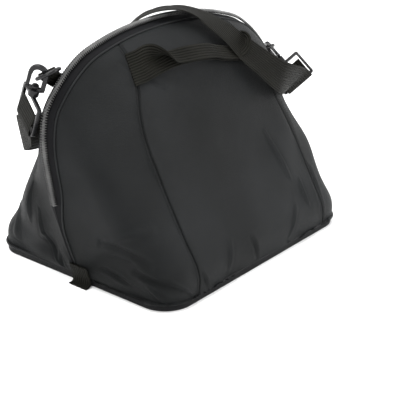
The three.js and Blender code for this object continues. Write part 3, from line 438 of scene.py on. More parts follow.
def new_material(name, roughness, metallic=0.0, specular=0.3):
    """A material with its shader, and the outputs of its object and cloth coordinates."""
    material = bpy.data.materials.new(name)
    material.use_nodes = True
    tree = material.node_tree
    shader = tree.nodes["Principled BSDF"]
    shader.inputs["Roughness"].default_value = roughness
    shader.inputs["Metallic"].default_value = metallic
    shader.inputs["Specular IOR Level"].default_value = specular
    place = tree.nodes.new("ShaderNodeTexCoord")
    return material, tree, shader, place.outputs["Object"], place.outputs["UV"]


def tint(tree, shader, mask, dark, light, low=0.3, high=0.7):
    """Base colour between two colours, by a mask."""
    spread = tree.nodes.new("ShaderNodeMapRange")
    spread.inputs["From Min"].default_value = low
    spread.inputs["From Max"].default_value = high
    tree.links.new(mask, spread.inputs["Value"])
    mix = tree.nodes.new("ShaderNodeMix")
    mix.data_type = "RGBA"
    mix.inputs["A"].default_value = (*dark, 1.0)
    mix.inputs["B"].default_value = (*light, 1.0)
    tree.links.new(spread.outputs[0], mix.inputs["Factor"])
    tree.links.new(mix.outputs["Result"], shader.inputs["Base Color"])


def bump(tree, shader, height, strength, distance):
    """A Bump node on the shader's normal."""
    node = tree.nodes.new("ShaderNodeBump")
    node.inputs["Strength"].default_value = strength
    node.inputs["Distance"].default_value = distance
    tree.links.new(height, node.inputs["Height"])
    tree.links.new(node.outputs["Normal"], shader.inputs["Normal"])


def nylon_material(name, dark, light):
    """Black nylon: twill lines, a soft sheen, faint clouds and specks of dust."""
    material, tree, shader, place, cloth = new_material(name, 0.5, specular=0.1)
    worn = use_group(tree, WEAR, place)
    weave = use_group(tree, TWILL, cloth, Lines_per_metre=820.0)
    tint(tree, shader, worn.outputs["Clouds"], dark, light)
    specks = calculate(tree, "MULTIPLY", worn.outputs["Specks"], 2.5)
    bump(tree, shader, calculate(tree, "ADD", weave.outputs["Height"], specks), 0.6, 0.0004)
    return material


def clouded_material(name, roughness, scale, dark, light, **looks):
    """A smooth material that varies between two colours in slow clouds."""
    material, tree, shader, place, _ = new_material(name, roughness, **looks)
    worn = use_group(tree, WEAR, place, Cloud_scale=scale)
    tint(tree, shader, worn.outputs["Clouds"], dark, light)
    return material


nylon = nylon_material("nylon", (0.0050, 0.0055, 0.0055), (0.0115, 0.0125, 0.0132))


def wall_grid(face, left, right, top, columns, rows, tuck_left, tuck_right):
    """Outer and inner grids of a wall: even steps between its side edges and from its top edge to the base,
    with the cloth turned in along the sewn edges."""
    s, t = np.linspace(0, 1, columns)[None, :], np.linspace(0, 1, rows)[:, None]
    along = left(t) * (1 - s) + right(t) * s
    _, run = rib_heights(face, along[0], np.zeros((columns, 1)))
    distance = top(along) * (1 - t) + run * t
    height, run = rib_heights(face, along.ravel(), distance.reshape(-1, 1))
    height, run = height.reshape(along.shape), run.reshape(along.shape)
    points = shell(face, along, height)
    normal = grid_normal(points, face)
    width = ARCH_LENGTH * np.abs(right(t) - left(t))
    edge = np.full(along.shape, 1e3)
    if tuck_left:
        edge = np.minimum(edge, s * width)
    if tuck_right:
        edge = np.minimum(edge, (1 - s) * width)
    tuck = -SEAM_TUCK * np.exp(-((edge / SEAM_ROUND) ** 2))
    lift = creases(face, along, height, run) * smooth_step(edge, 0, SEAM_CALM) + tuck
    outer = points + normal * lift[..., None]
    normal = grid_normal(outer, face)
    cloth = np.stack([along * ARCH_LENGTH, distance], axis=-1)
    return outer, outer - normal * CLOTH, cloth


def grid_normal(points, face):
    """The way out of a grid of points, from the differences of its rows and columns."""
    down, sideways = np.gradient(points, axis=0), np.gradient(points, axis=1)
    return unit(np.cross(down, sideways)) * -SIDE[face]


def front_top(along):
    """Where the front panels begin, below the tape and the piping."""
    return tape_reach(along) + PIPING_DIAMETER + 2 * CLEARANCE


SEAM_SLIT = 0.1 / ARCH_LENGTH
seam = lambda t: read_table(SEAM_LINE, t)
fixed = lambda value: lambda t: np.full(np.shape(t), value)
FRONT_PANELS = [
    ("front_left_gore", fixed(FOOT_SHARE), lambda t: seam(t) - SEAM_SLIT, False, True),
    ("front_centre_panel", lambda t: seam(t) + SEAM_SLIT, lambda t: 1 - seam(t) - SEAM_SLIT, True, True),
    ("front_right_gore", lambda t: 1 - seam(t) + SEAM_SLIT, fixed(1 - FOOT_SHARE), True, False),
]
for name, left, right, tuck_left, tuck_right in FRONT_PANELS:
    outer, inner, cloth = wall_grid(
        "front", left, right, front_top, FRONT_COLUMNS, WALL_ROWS, tuck_left, tuck_right)
    points, quads = closed_sheet(outer, inner)
    flat = np.vstack([cloth.reshape(-1, 2)] * 2)
    add_piece(name + "_cloth", points, outward(points, quads), nylon, [name], flat)

# Back of the bag. One slack panel of the same nylon from side to side, bound to the zipper's back tape and to
# the base, with long folds where the cloth sags between the two.
BACK_COLUMNS = 320
BACK_EDGE = 0.001

back_top = lambda along: tape_reach(along) + CLEARANCE
outer, inner, cloth = wall_grid(
    "back", fixed(BACK_EDGE), fixed(1 - BACK_EDGE), back_top, BACK_COLUMNS, WALL_ROWS, False, False)
points, quads = closed_sheet(outer, inner)
flat = np.vstack([cloth.reshape(-1, 2)] * 2)
add_piece("back_cloth", points, outward(points, quads), nylon, ["back_panel"], flat)

# Base. A stiff floor board in nylon with an upstanding band round its edge, which the panels are sewn to. A
# thin welt runs along the seam between the band and the panels, and waves where the cloth pulls at it.
BASE_SHEET = 3.0
BAND_WALL = 3.0
BAND_INSET = 1.5
WELT = 1.5
RIM_STEPS = 480
FLOOR_REACH = 90
EDGE_LENGTH = 1100.0

shares = np.arange(RIM_STEPS) / RIM_STEPS
rim, way_out = np.empty((RIM_STEPS, 2)), np.empty((RIM_STEPS, 2))
for face, part, along in (("front", shares < 0.5, 2 * shares), ("back", shares >= 0.5, 2 - 2 * shares)):
    edge, out = outline_at(face, along[part])
    rim[part], way_out[part] = edge, out


def rim_ring(inset, level):
    """The base's outline drawn in by an inset, at one level."""
    return np.column_stack([rim - way_out * inset, np.full(RIM_STEPS, float(level))])


section = [
    (BAND_INSET + FLOOR_REACH, 0.6), (BAND_INSET + 1.4, 0.0), (BAND_INSET + 0.3, 0.5), (BAND_INSET, 1.6),
    (BAND_INSET + 0.2, 5.0), (BAND_INSET, BAND_HEIGHT - 0.6), (BAND_INSET + 0.6, BAND_HEIGHT),
    (BAND_INSET + BAND_WALL - 0.6, BAND_HEIGHT), (BAND_INSET + BAND_WALL, BAND_HEIGHT - 0.8),
    (BAND_INSET + BAND_WALL, BASE_SHEET + 1.0), (BAND_INSET + BAND_WALL + 2.0, BASE_SHEET),
    (BAND_INSET + FLOOR_REACH, BASE_SHEET),
]
rings = np.array([rim_ring(inset, level) for inset, level in section])
rings[0, :, 2] = 0.0
index = np.arange(len(section) * RIM_STEPS).reshape(len(section), RIM_STEPS)
onward = np.roll(index, -1, axis=1)
quads = np.stack([index[:-1], onward[:-1], onward[1:], index[1:]], -1).reshape(-1, 4)
points = rings.reshape(-1, 3)
closed = outward(points, quads)
turned = not np.array_equal(closed, quads)
faces = closed.tolist()
under, floor_top = index[0].tolist(), index[-1].tolist()
faces += [under[::-1] if not turned else under, floor_top if not turned else floor_top[::-1]]
run = shares * EDGE_LENGTH
cloth = np.stack([np.tile(run, len(section)), np.repeat([s[0] + s[1] for s in section], RIM_STEPS)], -1)
band = nylon_material("band_nylon", (0.004, 0.004, 0.0045), (0.008, 0.0085, 0.009))
add_piece("base_board", points, faces, band, ["base_panel"], cloth)


def tube(line, across, out, radius_a, radius_b, sides, looped):
    """A tube round a line: rings of even steps of turn, spanned by two directions at each point."""
    turn = np.linspace(0, 2 * math.pi, sides, endpoint=False)
    spread = across[:, None] * (radius_a * np.cos(turn))[None, :, None]
    rise = out[:, None] * (radius_b * np.sin(turn))[None, :, None]
    return loft(line[:, None] + spread + rise, looped)


def loft(rings, looped=False):
    """Vertices and faces of a solid drawn through rings of points; two caps close one that isn't looped."""
    count, sides = rings.shape[:2]
    index = np.arange(count * sides).reshape(count, sides)
    beside = np.roll(index, -1, axis=1)
    here, there = (index, np.roll(index, -1, axis=0)) if looped else (index[:-1], index[1:])
    next_here, next_there = (beside, np.roll(beside, -1, axis=0)) if looped else (beside[:-1], beside[1:])
    quads = np.stack([here, next_here, next_there, there], -1).reshape(-1, 4)
    points = rings.reshape(-1, 3)
    a, b, c, d = (points[quads[:, k]] - points.mean(axis=0) for k in range(4))
    turned = np.einsum("ij,ij->", a, np.cross(b, c)) + np.einsum("ij,ij->", a, np.cross(c, d)) < 0
    faces = (quads[:, ::-1] if turned else quads).tolist()
    if not looped:
        first, last = index[0].tolist(), index[-1].tolist()
        faces += [first, last[::-1]] if turned else [first[::-1], last]
    return points, faces


wave = np.sin(run / 23.0) * np.sin(run / 61.0 + 0.8)
welt_line = rim_ring(BAND_INSET - WELT / 2, FOOT - 0.2)
welt_line[:, 2] += 0.5 * wave
upright = np.tile([0.0, 0.0, 1.0], (RIM_STEPS, 1))
outwards = np.column_stack([way_out, np.zeros(RIM_STEPS)])
points, faces = tube(welt_line, outwards, upright, WELT, WELT, 10, True)
add_piece("base_welt", points, faces, band, [])

# Top-stitching. Two rows of black thread down each side seam of the front, one on each side of the join.
# Each stitch is a short bead of thread that dips into the cloth at its ends.
STITCH = 2.4
STITCH_PITCH = 3.1
THREAD = 0.34
ROW_OFFSET = 3.2
ROW_STEPS = 160
BEAD_RINGS = 5
BEAD_SIDES = 6
BEAD_POINTS = BEAD_RINGS * BEAD_SIDES

thread = clouded_material("thread", 0.5, 30.0, (0.003, 0.003, 0.003), (0.008, 0.008, 0.008), specular=0.1)


def stitches(line, out):
    """Beads of thread along a line: every pitch, a bead of six-sided rings that taper at both ends."""
    share, length = by_length(line)
    count = int(length / STITCH_PITCH)
    middle = (np.arange(count) + 0.5) / count
    at = np.stack([np.interp(middle, share, line[:, k]) for k in range(3)], -1)
    ahead = np.stack([np.interp(middle + 0.3 / count, share, line[:, k]) for k in range(3)], -1)
    up = unit(np.stack([np.interp(middle, share, out[:, k]) for k in range(3)], -1))
    along = unit(ahead - at)
    side = np.cross(along, up)
    reach = np.array([-1.0, -0.7, 0.0, 0.7, 1.0])
    width = np.array([0.25, 0.85, 1.0, 0.85, 0.25]) * THREAD
    lift = np.array([-0.35, 0.1, 0.35, 0.1, -0.35]) * THREAD
    turn = np.arange(BEAD_SIDES) * math.tau / BEAD_SIDES
    grid = at[:, None, None] + along[:, None, None] * (reach * STITCH / 2)[None, :, None, None]
    grid = grid + side[:, None, None] * (width[:, None] * np.cos(turn))[None, :, :, None]
    grid = grid + up[:, None, None] * (lift[:, None] + width[:, None] * np.sin(turn))[None, :, :, None]
    local = np.arange(BEAD_POINTS).reshape(BEAD_RINGS, BEAD_SIDES)
    beside = np.roll(local, -1, axis=1)
    sides = np.stack([local[:-1], beside[:-1], beside[1:], local[1:]], -1).reshape(-1, 4)
    starts = np.arange(count)[:, None, None] * BEAD_POINTS
    quads = (sides[None] + starts).reshape(-1, 4)
    points = grid.reshape(-1, 3)
    quads = outward_each(points, quads)
    caps = (np.array([local[0][::-1], local[-1]])[None] + starts).reshape(-1, BEAD_SIDES)
    return points, quads.tolist() + caps.tolist()


def outward_each(points, quads):
    """The quads turned, where a bead's first side faces its own axis."""
    first = points[:BEAD_POINTS]
    a, b, c = (first[quads[0, k]] for k in range(3))
    facing = np.cross(b - a, c - a) @ (a - first.mean(axis=0))
    return quads if facing > 0 else quads[:, ::-1]


t = np.linspace(0.01, 0.99, ROW_STEPS)
run_down = rib_heights("front", seam(t), np.zeros((ROW_STEPS, 1)))[1]
down = front_top(seam(t)) * (1 - t) + run_down * t
rows_of_thread = []
for mirror in (False, True):
    for offset in (-ROW_OFFSET, ROW_OFFSET):
        along = seam(t) + offset / ARCH_LENGTH
        along = 1 - along if mirror else along
        out = shell_normal("front", along, down)
        rows_of_thread.append(stitches(down_shell("front", along, down) + out * 0.15, out))
points, faces, start = [], [], 0
for row_points, row_faces in rows_of_thread:
    points.append(row_points)
    faces += [[start + corner for corner in face] for face in row_faces]
    start += len(row_points)
add_piece("seam_stitching", np.vstack(points), faces, thread, [])

# Zipper. Two woven tapes meet along the arch, and a closed coil of nylon runs over the slit between them: two
# rows of bent loops whose heads hook into each other, sewn down to the tapes. It leans towards the front.
TAPE_THICKNESS = 1.2
TAPE_SLIT = 1.0
COIL_WIDTH = 7.5
COIL_HEIGHT = 2.8
COIL_END = 0.115
COIL_PITCH = 2.5
COIL_TILT = math.radians(35)
COIL_SHIFT = 1.6
COIL_LIFT = 0.7
ARCH_STEPS = 360
TAPE_ROWS = 12

tape, tree, shader, place, cloth_place = new_material("zipper_tape", 0.7, specular=0.06)
worn = use_group(tree, WEAR, place)
weave = use_group(tree, TWILL, cloth_place, Lines_per_metre=700.0)
tint(tree, shader, worn.outputs["Clouds"], (0.004, 0.004, 0.0045), (0.008, 0.008, 0.009))
bump(tree, shader, weave.outputs["Height"], 0.5, 0.0003)

stations = np.linspace(FOOT_SHARE, 1 - FOOT_SHARE, ARCH_STEPS)
for face in ("front", "back"):
    along = np.repeat(stations[None, :], TAPE_ROWS, axis=0)
    down = TAPE_SLIT / 2 + (tape_reach(along) - TAPE_SLIT / 2) * np.linspace(0, 1, TAPE_ROWS)[:, None]
    outer = down_shell(face, along, down)
    normal = grid_normal(outer, face)
    points, quads = closed_sheet(outer, outer - normal * TAPE_THICKNESS)
    flat = np.vstack([np.stack([along * ARCH_LENGTH, down], -1).reshape(-1, 2)] * 2)
    add_piece(f"tape_{face}", points, outward(points, quads), tape, [f"zipper_tape_{face}"], flat)


def arch_frame(along):
    """At shares of the arch: its direction, the way across it from back to front, and the way out."""
    tangent = unit(arch_at(along + 0.0005) - arch_at(along - 0.0005))
    here = arch_at(along)
    across = unit(down_shell("front", along, 0 * along + 1) - here)
    across = across - unit(down_shell("back", along, 0 * along + 1) - here)
    across = unit(across - tangent * np.sum(across * tangent, axis=-1, keepdims=True))
    return tangent, across, unit(np.cross(across, tangent))


# The coil's loops are dark grey nylon. Their colour is set much lighter than the cloth's so that it also paints
# the glints on the teeth: partly own colour, partly painted highlight.
coil_grey_painted_glint = clouded_material("coil_grey_painted_glint", 0.25, 60.0, (0.05, 0.05, 0.05), (0.13, 0.13, 0.128), specular=0.6)

count = int(ARCH_LENGTH * (1 - 2 * COIL_END) / COIL_PITCH)
along = np.linspace(COIL_END, 1 - COIL_END, count)
tangent, across, out = arch_frame(along)
centre = arch_at(along) + out * (CLEARANCE + COIL_LIFT) + across * COIL_SHIFT
across, out = (
    across * math.cos(COIL_TILT) - out * math.sin(COIL_TILT),
    out * math.cos(COIL_TILT) + across * math.sin(COIL_TILT),
)
path = np.array([(1.0, 0.12), (0.72, 0.62), (0.1, 0.86), (-0.32, 0.74), (-0.42, 0.3)])
turn = np.arange(BEAD_SIDES) * math.tau / BEAD_SIDES
tooth = []
for side, shift in ((1.0, 0.0), (-1.0, 0.5)):
    reach = path[:, 0] * side * (COIL_WIDTH / 2 - 0.5)
    level = path[:, 1] * (COIL_HEIGHT - 0.5) + 0.4
    step = np.gradient(np.column_stack([reach, level]), axis=0)
    step /= np.linalg.norm(step, axis=1)[:, None]
    bead = np.array([0.5, 0.52, 0.55, 0.6, 0.45])
    grid = centre[:, None, None] + tangent[:, None, None] * (
        shift * COIL_PITCH + bead[:, None] * 0.8 * np.cos(turn))[None, :, :, None]
    sideways = reach[:, None] - step[:, 1:2] * bead[:, None] * np.sin(turn)
    upwards = level[:, None] + step[:, 0:1] * bead[:, None] * np.sin(turn)
    grid = grid + across[:, None, None] * sideways[None, :, :, None]
    grid = grid + out[:, None, None] * upwards[None, :, :, None]
    local = np.arange(BEAD_POINTS).reshape(BEAD_RINGS, BEAD_SIDES)
    beside = np.roll(local, -1, axis=1)
    sides = np.stack([local[:-1], beside[:-1], beside[1:], local[1:]], -1).reshape(-1, 4)
    starts = np.arange(count)[:, None, None] * BEAD_POINTS
    points = grid.reshape(-1, 3)
    quads = outward_each(points, (sides[None] + starts).reshape(-1, 4))
    caps = np.array([local[0], local[-1][::-1]])
    caps = caps[:, ::-1] if np.array_equal(quads[0], (sides[None] + starts).reshape(-1, 4)[0]) else caps
    tooth.append((points, quads.tolist() + (caps[None] + starts).reshape(-1, BEAD_SIDES).tolist()))
points = np.vstack([tooth[0][0], tooth[1][0]])
faces = tooth[0][1] + [[len(tooth[0][0]) + corner for corner in face] for face in tooth[1][1]]
add_piece("coil_loops", points, faces, coil_grey_painted_glint, ["zipper_coil"])
# The cord in the coil's core is coloured near black, darker than the black cloth, which paints the shade
# between the loops.
core = centre + out * 0.5
points, faces = tube(core, across, out, COIL_WIDTH / 2 - 0.6, 0.8, 8, False)
painted_shade_cord = clouded_material(
    "coil_cord_painted_shade", 0.8, 60.0, (0.0015, 0.0015, 0.0015), (0.003, 0.003, 0.003), specular=0.03)
add_piece("coil_cord_painted_shade", points, faces, painted_shade_cord, [])

# Piping. A round cord wrapped in nylon, caught between the front tape and the front panels.
distance = tape_reach(stations) + CLEARANCE + PIPING_DIAMETER / 2
centre = down_shell("front", stations, distance)
normal = shell_normal("front", stations, distance)
down = unit(down_shell("front", stations, distance + 1) - centre)
points, faces = tube(centre, down, normal, PIPING_DIAMETER / 2, PIPING_DIAMETER / 2, 12, False)
add_piece("piping", points, faces, nylon, ["front_piping"])


# Sliders, pulls, hooks and strap loops. Cast metal on the zipper, moulded black plastic on the strap: the CAD's
# own shapes, with their edges rounded.
def rounded(node, width, material, body="root"):
    """A copy of a CAD node with its loose corners merged and its edges bevelled."""
    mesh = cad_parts[node].data.copy()
    work = bmesh.new()
    work.from_mesh(mesh)
    bmesh.ops.remove_doubles(work, verts=work.verts, dist=1e-6)
    bmesh.ops.dissolve_limit(work, angle_limit=math.radians(1), verts=work.verts, edges=work.edges)
    work.to_mesh(mesh)
    work.free()
    mesh.materials.clear()
    mesh.materials.append(material)
    mesh.polygons.foreach_set("use_smooth", np.ones(len(mesh.polygons), dtype=bool))
    piece = bpy.data.objects.new(node + "_rounded", mesh)
    bpy.context.collection.objects.link(piece)
    edge = piece.modifiers.new("edge", "BEVEL")
    edge.width = width * MM
    edge.segments = 3
    edge.limit_method = "ANGLE"
    edge.angle_limit = math.radians(35)
    edge.harden_normals = True
    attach(piece, body)
    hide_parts(node)
    return piece


metal = clouded_material("plated_metal", 0.34, 90.0, (0.16, 0.16, 0.16), (0.42, 0.42, 0.41), metallic=1.0)
plastic, tree, shader, place, _ = new_material("black_plastic", 0.25, specular=0.22)
worn = use_group(tree, WEAR, place, Cloud_scale=70.0, Speck_scale=1500.0)
tint(tree, shader, worn.outputs["Clouds"], (0.004, 0.004, 0.0045), (0.009, 0.009, 0.0095))
bump(tree, shader, worn.outputs["Specks"], 0.25, 0.0001)
for number in (1, 2):
    rounded(f"zipper_slider_{number}", 0.3, metal)
    rounded(f"zipper_pull_{number}", 0.25, metal, f"pull_{number}")
for side in ("left", "right"):
    rounded(f"snap_hook_{side}", 0.6, plastic)
    rounded(f"hook_gate_{side}", 0.4, plastic, f"gate_{side}")
    rounded(f"strap_loop_{side}", 0.5, plastic)

# Grab handle. One piece of webbing, sewn flat into both side seams and folded lengthwise between them, so that
# it is half as wide and two layers thick where a hand takes it.
WEBBING = 1.6
HANDLE_WIDTH = 38.0
HANDLE_DROP = 58.0
HANDLE_LIFT = 14.0
HANDLE_CLEARANCE = 0.5
FOLD_BEND = 3.4
HANDLE_STEPS = 110
EDGE_ROUND = 0.8
SEAM_GAP = 0.6
# Share of the way across; drop as a share of the width; lift as a share of the handle's; how far it is folded
HANDLE_SECTIONS = np.array([
    (0.0, -0.28, 0.0, 0.0), (0.08, -0.2, 0.06, 0.04), (0.16, -0.08, 0.3, 0.5), (0.26, 0.04, 0.6, 0.93),
    (0.38, 0.14, 0.85, 1.0), (0.5, 0.22, 0.8, 1.0), (0.62, 0.28, 0.35, 1.0), (0.74, 0.3, 0.1, 0.93),
    (0.84, 0.2, 0.04, 0.5), (0.92, 0.05, 0.02, 0.04), (1.0, -0.1, 0.0, 0.0),
])


def webbing_material(name, dark, light):
    """Webbing: lengthwise ribs of heavy thread across the width, with fine picks along it. Its colour is
    painted lighter on the ribs' crests and darker in the grooves between them: painted shade.
    """
    material, tree, shader, place, cloth = new_material(name, 0.6, specular=0.07)
    parts = tree.nodes.new("ShaderNodeSeparateXYZ")
    tree.links.new(cloth, parts.inputs[0])
    ribs = calculate(tree, "SINE", calculate(tree, "MULTIPLY", parts.outputs["X"], math.tau * 330))
    picks = calculate(tree, "SINE", calculate(tree, "MULTIPLY", parts.outputs["Y"], math.tau * 900))
    worn = use_group(tree, WEAR, place, Cloud_scale=25.0)
    weave = calculate(tree, "ADD", ribs, calculate(tree, "MULTIPLY", picks, 0.4))
    # The colour follows the ribs, lighter on their crests and darker in their grooves: painted shade in the
    # grooves.
    tint(tree, shader, calculate(tree, "ADD", worn.outputs["Clouds"], calculate(tree, "MULTIPLY", ribs, 0.22)),
         dark, light)
    bump(tree, shader, weave, 0.8, 0.0012)
    return material


webbing = webbing_material("webbing", (0.0045, 0.0044, 0.0034), (0.0125, 0.0122, 0.0096))


def handle_spot(share, distance):
    """Share along the arch of a point of the handle, between the two side seams at its distance down."""
    _, run = rib_heights("front", np.array([0.5]), np.zeros((1, 1)))
    edge = read_table(SEAM_LINE, distance / run[0]) + SEAM_GAP / ARCH_LENGTH
    return edge * (1 - share) + (1 - edge) * share


share = np.linspace(0, 1, HANDLE_STEPS)
drop, lift, folded = (read_table(HANDLE_SECTIONS[:, (0, k)], share) for k in (1, 2, 3))
folded = np.clip(folded, 0, 1)
middle = HANDLE_DROP + drop * HANDLE_WIDTH
spot = handle_spot(share, middle)
out = shell_normal("front", spot, middle)
across = (down_shell("front", handle_spot(share, middle + 5), middle + 5)
          - down_shell("front", handle_spot(share, middle - 5), middle - 5))
across = unit(across - out * np.sum(across * out, axis=-1, keepdims=True))
length = np.linspace(-HANDLE_WIDTH / 2, HANDLE_WIDTH / 2, 61)
angle = -math.pi * 0.985 * folded[:, None] * (1 - smooth_step(length, -FOLD_BEND, FOLD_BEND))[None, :]
step = np.diff(length)[0]
x = np.cumsum(np.cos(angle)[:, ::-1], axis=1)[:, ::-1] * -step
z = np.cumsum(np.sin(angle)[:, ::-1], axis=1)[:, ::-1] * -step
x += HANDLE_WIDTH / 2 - folded[:, None] * HANDLE_WIDTH / 4
past = np.clip((np.abs(length) - HANDLE_WIDTH / 2 + EDGE_ROUND) / EDGE_ROUND, 0, 1)
half = WEBBING / 2 * np.sqrt(np.clip(1 - past ** 2, 0.02, 1))
outer_x, outer_z = x - np.sin(angle) * half, z + np.cos(angle) * half
inner_x, inner_z = x + np.sin(angle) * half, z - np.cos(angle) * half
ring_x = np.concatenate([outer_x, inner_x[:, ::-1]], axis=1)
ring_z = np.concatenate([outer_z, inner_z[:, ::-1]], axis=1)
height = HANDLE_CLEARANCE + WEBBING / 2 + lift * HANDLE_LIFT
centre = down_shell("front", spot, middle) + out * height[:, None]
rings = centre[:, None] + across[:, None] * ring_x[..., None] + out[:, None] * ring_z[..., None]
points, faces = loft(rings)
lengthwise = by_length(centre)[0] * by_length(centre)[1]
both = np.concatenate([length, length[::-1]])
cloth = np.stack([np.tile(both, HANDLE_STEPS), np.repeat(lengthwise, len(both))], -1)
add_piece("handle_webbing", points, faces, webbing, ["carry_handle"], cloth)

# D-rings. Moulded rings of round bar, each held against the back seam by a tab of webbing that comes out of
# the seam, goes round the ring's straight bar and back.
RING_STOCK = 4.0
RING_DEPTH = 20.0
RING_SETBACK = 5.0
TAB_WIDTH = 18.0
TAB_STRAIGHT = 0.8
TAB_SIDES = 24
TAB_CORNER = 0.35
RING_HALF = TAB_WIDTH / 2 + 4 * CLEARANCE + RING_STOCK / 2
# Place along the arch, the way and the length that the tab rises, the ring's way out, and its bar's direction
RING_PLACES = {
    "left": (0.295, (-0.76, -0.45, 0.465), 27.0, (-0.62, -0.75, 0.22), (0.78, -0.5, 0.35)),
    "right": (0.765, (1.0, 0.0, 0.0), 19.5, (0.95, -0.25, 0.2), (0.32, 0.78, -0.54)),
}


def ring_frame(side):
    """A tab's root on the shell, its ring's straight bar with the bar's way, and the ring's own three axes."""
    along, rise, length, outward_way, bar_way = RING_PLACES[side]
    share = np.array([along])
    reach = tape_reach(share) + RING_SETBACK
    root = (down_shell("back", share, reach) + shell_normal("back", share, reach) * WEBBING)[0]
    bar = root + unit(np.array(rise)) * length
    bar_way = unit(np.array(bar_way))
    axis = unit(np.cross(unit(np.array(outward_way)), bar_way))
    x_way = unit(np.array(outward_way) - axis * (np.array(outward_way) @ axis))
    return root, bar, bar_way, x_way, np.cross(axis, x_way), axis


def webbing_band(name, node, line, across, through, width, sides, corner):
    """Webbing along a line: a section like a flattened oval, whose squareness is the power that the cosine is
    raised to, is set at each point across and through, and the cloth's own place runs in mm both ways."""
    turn = np.linspace(0, math.tau, sides, endpoint=False)
    oval_x = np.sign(np.cos(turn)) * np.abs(np.cos(turn)) ** corner * width / 2
    oval_z = np.sign(np.sin(turn)) * np.abs(np.sin(turn)) ** 0.6 * WEBBING / 2
    grid = line[:, None] + across[:, None] * oval_x[None, :, None] + through[:, None] * oval_z[None, :, None]
    points, faces = loft(grid)
    shares, length = by_length(line)
    cloth = np.stack([np.tile(oval_x, len(line)), np.repeat(shares * length, sides)], -1)
    add_piece(name, points, faces, webbing, [node], cloth)


for side in RING_PLACES:
    root, bar, bar_way, x_way, y_way, axis = ring_frame(side)
    turn = np.radians(np.linspace(90, -90, 49))
    bow = np.column_stack([RING_DEPTH * np.maximum(np.cos(turn), 0) ** 0.8, RING_HALF * np.sin(turn)])
    straight = np.column_stack([np.zeros(9), np.linspace(-1, 1, 11)[1:-1] * RING_HALF])
    flat = np.vstack([bow, straight])
    step = unit(np.roll(flat, -1, axis=0) - np.roll(flat, 1, axis=0))
    line = bar + flat[:, :1] * x_way + flat[:, 1:] * y_way
    sideways = step[:, 1:] * x_way - step[:, :1] * y_way
    up = np.tile(axis, (len(flat), 1))
    points, faces = tube(line, sideways, up, RING_STOCK / 2, RING_STOCK / 2, 16, True)
    add_piece(f"ring_{side}", points, faces, plastic, [f"d_ring_{side}"])
    seam_way = arch_frame(np.array([RING_PLACES[side][0]]))[0][0]
    climb = unit(bar - root)
    radius = RING_STOCK / 2 + CLEARANCE + WEBBING / 2
    legs = np.linspace(0, TAB_STRAIGHT, 10)
    rings = []
    for direction, leg in ((1.0, legs), (-1.0, legs[::-1])):
        width = unit(seam_way * (1 - leg[:, None]) + bar_way * leg[:, None])
        facing = unit(np.cross(np.tile(climb, (len(leg), 1)), width))
        spread = (WEBBING + CLEARANCE) / 2 * (1 - leg) + radius * leg
        middle_line = root * (1 - leg[:, None]) + bar * leg[:, None] + facing * (direction * spread)[:, None]
        rings.append((middle_line, width, facing * direction))
        if direction > 0:
            bend = np.linspace(0, math.pi, 18)[1:-1, None]
            normal_way = unit(np.cross(climb, bar_way)) * np.cos(bend) + climb * np.sin(bend)
            rings.append((bar + normal_way * radius, np.tile(bar_way, (16, 1)), normal_way))
    middle_line, width, facing = (np.vstack([part[k] for part in rings]) for k in range(3))
    webbing_band(
        f"ring_tab_{side}_webbing", f"ring_tab_{side}", middle_line, width, facing,
        TAB_WIDTH, TAB_SIDES, TAB_CORNER)

# Shoulder strap. Ribbed webbing through both strap loops: it goes round each loop's far bar, behind the bag
# from the left, over its top, and down across the front's right shoulder.
STRAP_WIDTH = 38.0
LOOP_DEPTH = 32.0
EYE_STOCK = 4.5
HOOK_DROP = 36.0
STRAP_STEPS = 520
STRAP_SIDES = 40
STRAP_CORNER = 0.3
# Place on the ring's bow in degrees, drop below the eye's top, the way the hook hangs, and the loop's width
HOOKS = {
    "left": (-72.0, 14.0, (0.03, 0.46, -0.885), (-0.35, -0.83, -0.43)),
    "right": (-78.0, EYE_STOCK / 2 + RING_STOCK / 2 + CLEARANCE, (-0.05, -0.8, -0.6), (0.545, -0.64, 0.54)),
}
# Out of the loop's plane and up to the hook, from the cut end
STRAP_ENDS = {
    "left": [(-1.4, 23), (-2.8, 12), (-3.7, 3), (-2.8, -2.4), (-0.6, -4.6), (1.4, -10)],
    "right": [(-0.6, 24), (0.6, 14), (2.6, 6), (3.7, 1.5), (3.0, -2.2), (0, -3.7), (-5, -3.4), (-14, -2)],
}
# Places as shares of half the arch's width, half the base's depth and the arch's height, and the width's way
STRAP_RUN = np.array([
    (-0.835, 0.56, 0.58, -0.2, -0.45, -0.87), (-0.62, 0.78, 0.52, -0.2, -0.4, -0.9),
    (-0.42, 0.9, 0.5, -0.3, -0.2, -0.9), (-0.25, 0.84, 0.58, -0.65, -0.15, -0.7),
    (-0.18, 0.64, 0.74, -0.9, -0.2, -0.4), (-0.15, 0.43, 0.88, -0.9, -0.4, -0.1),
    (-0.107, 0.22, 0.99, -0.78, -0.62, 0.05), (-0.05, 0.11, 1.025, -0.64, -0.76, 0.11),
    (0.065, 0.005, 1.032, -0.5, -0.87, 0.04), (0.2, -0.1, 0.995, -0.6, -0.74, -0.2),
    (0.262, -0.275, 0.935, -0.8, -0.5, -0.3), (0.355, -0.402, 0.848, -0.78, -0.34, -0.48),
    (0.436, -0.486, 0.786, -0.66, -0.32, -0.6), (0.583, -0.555, 0.7, -0.55, -0.14, -0.78),
])

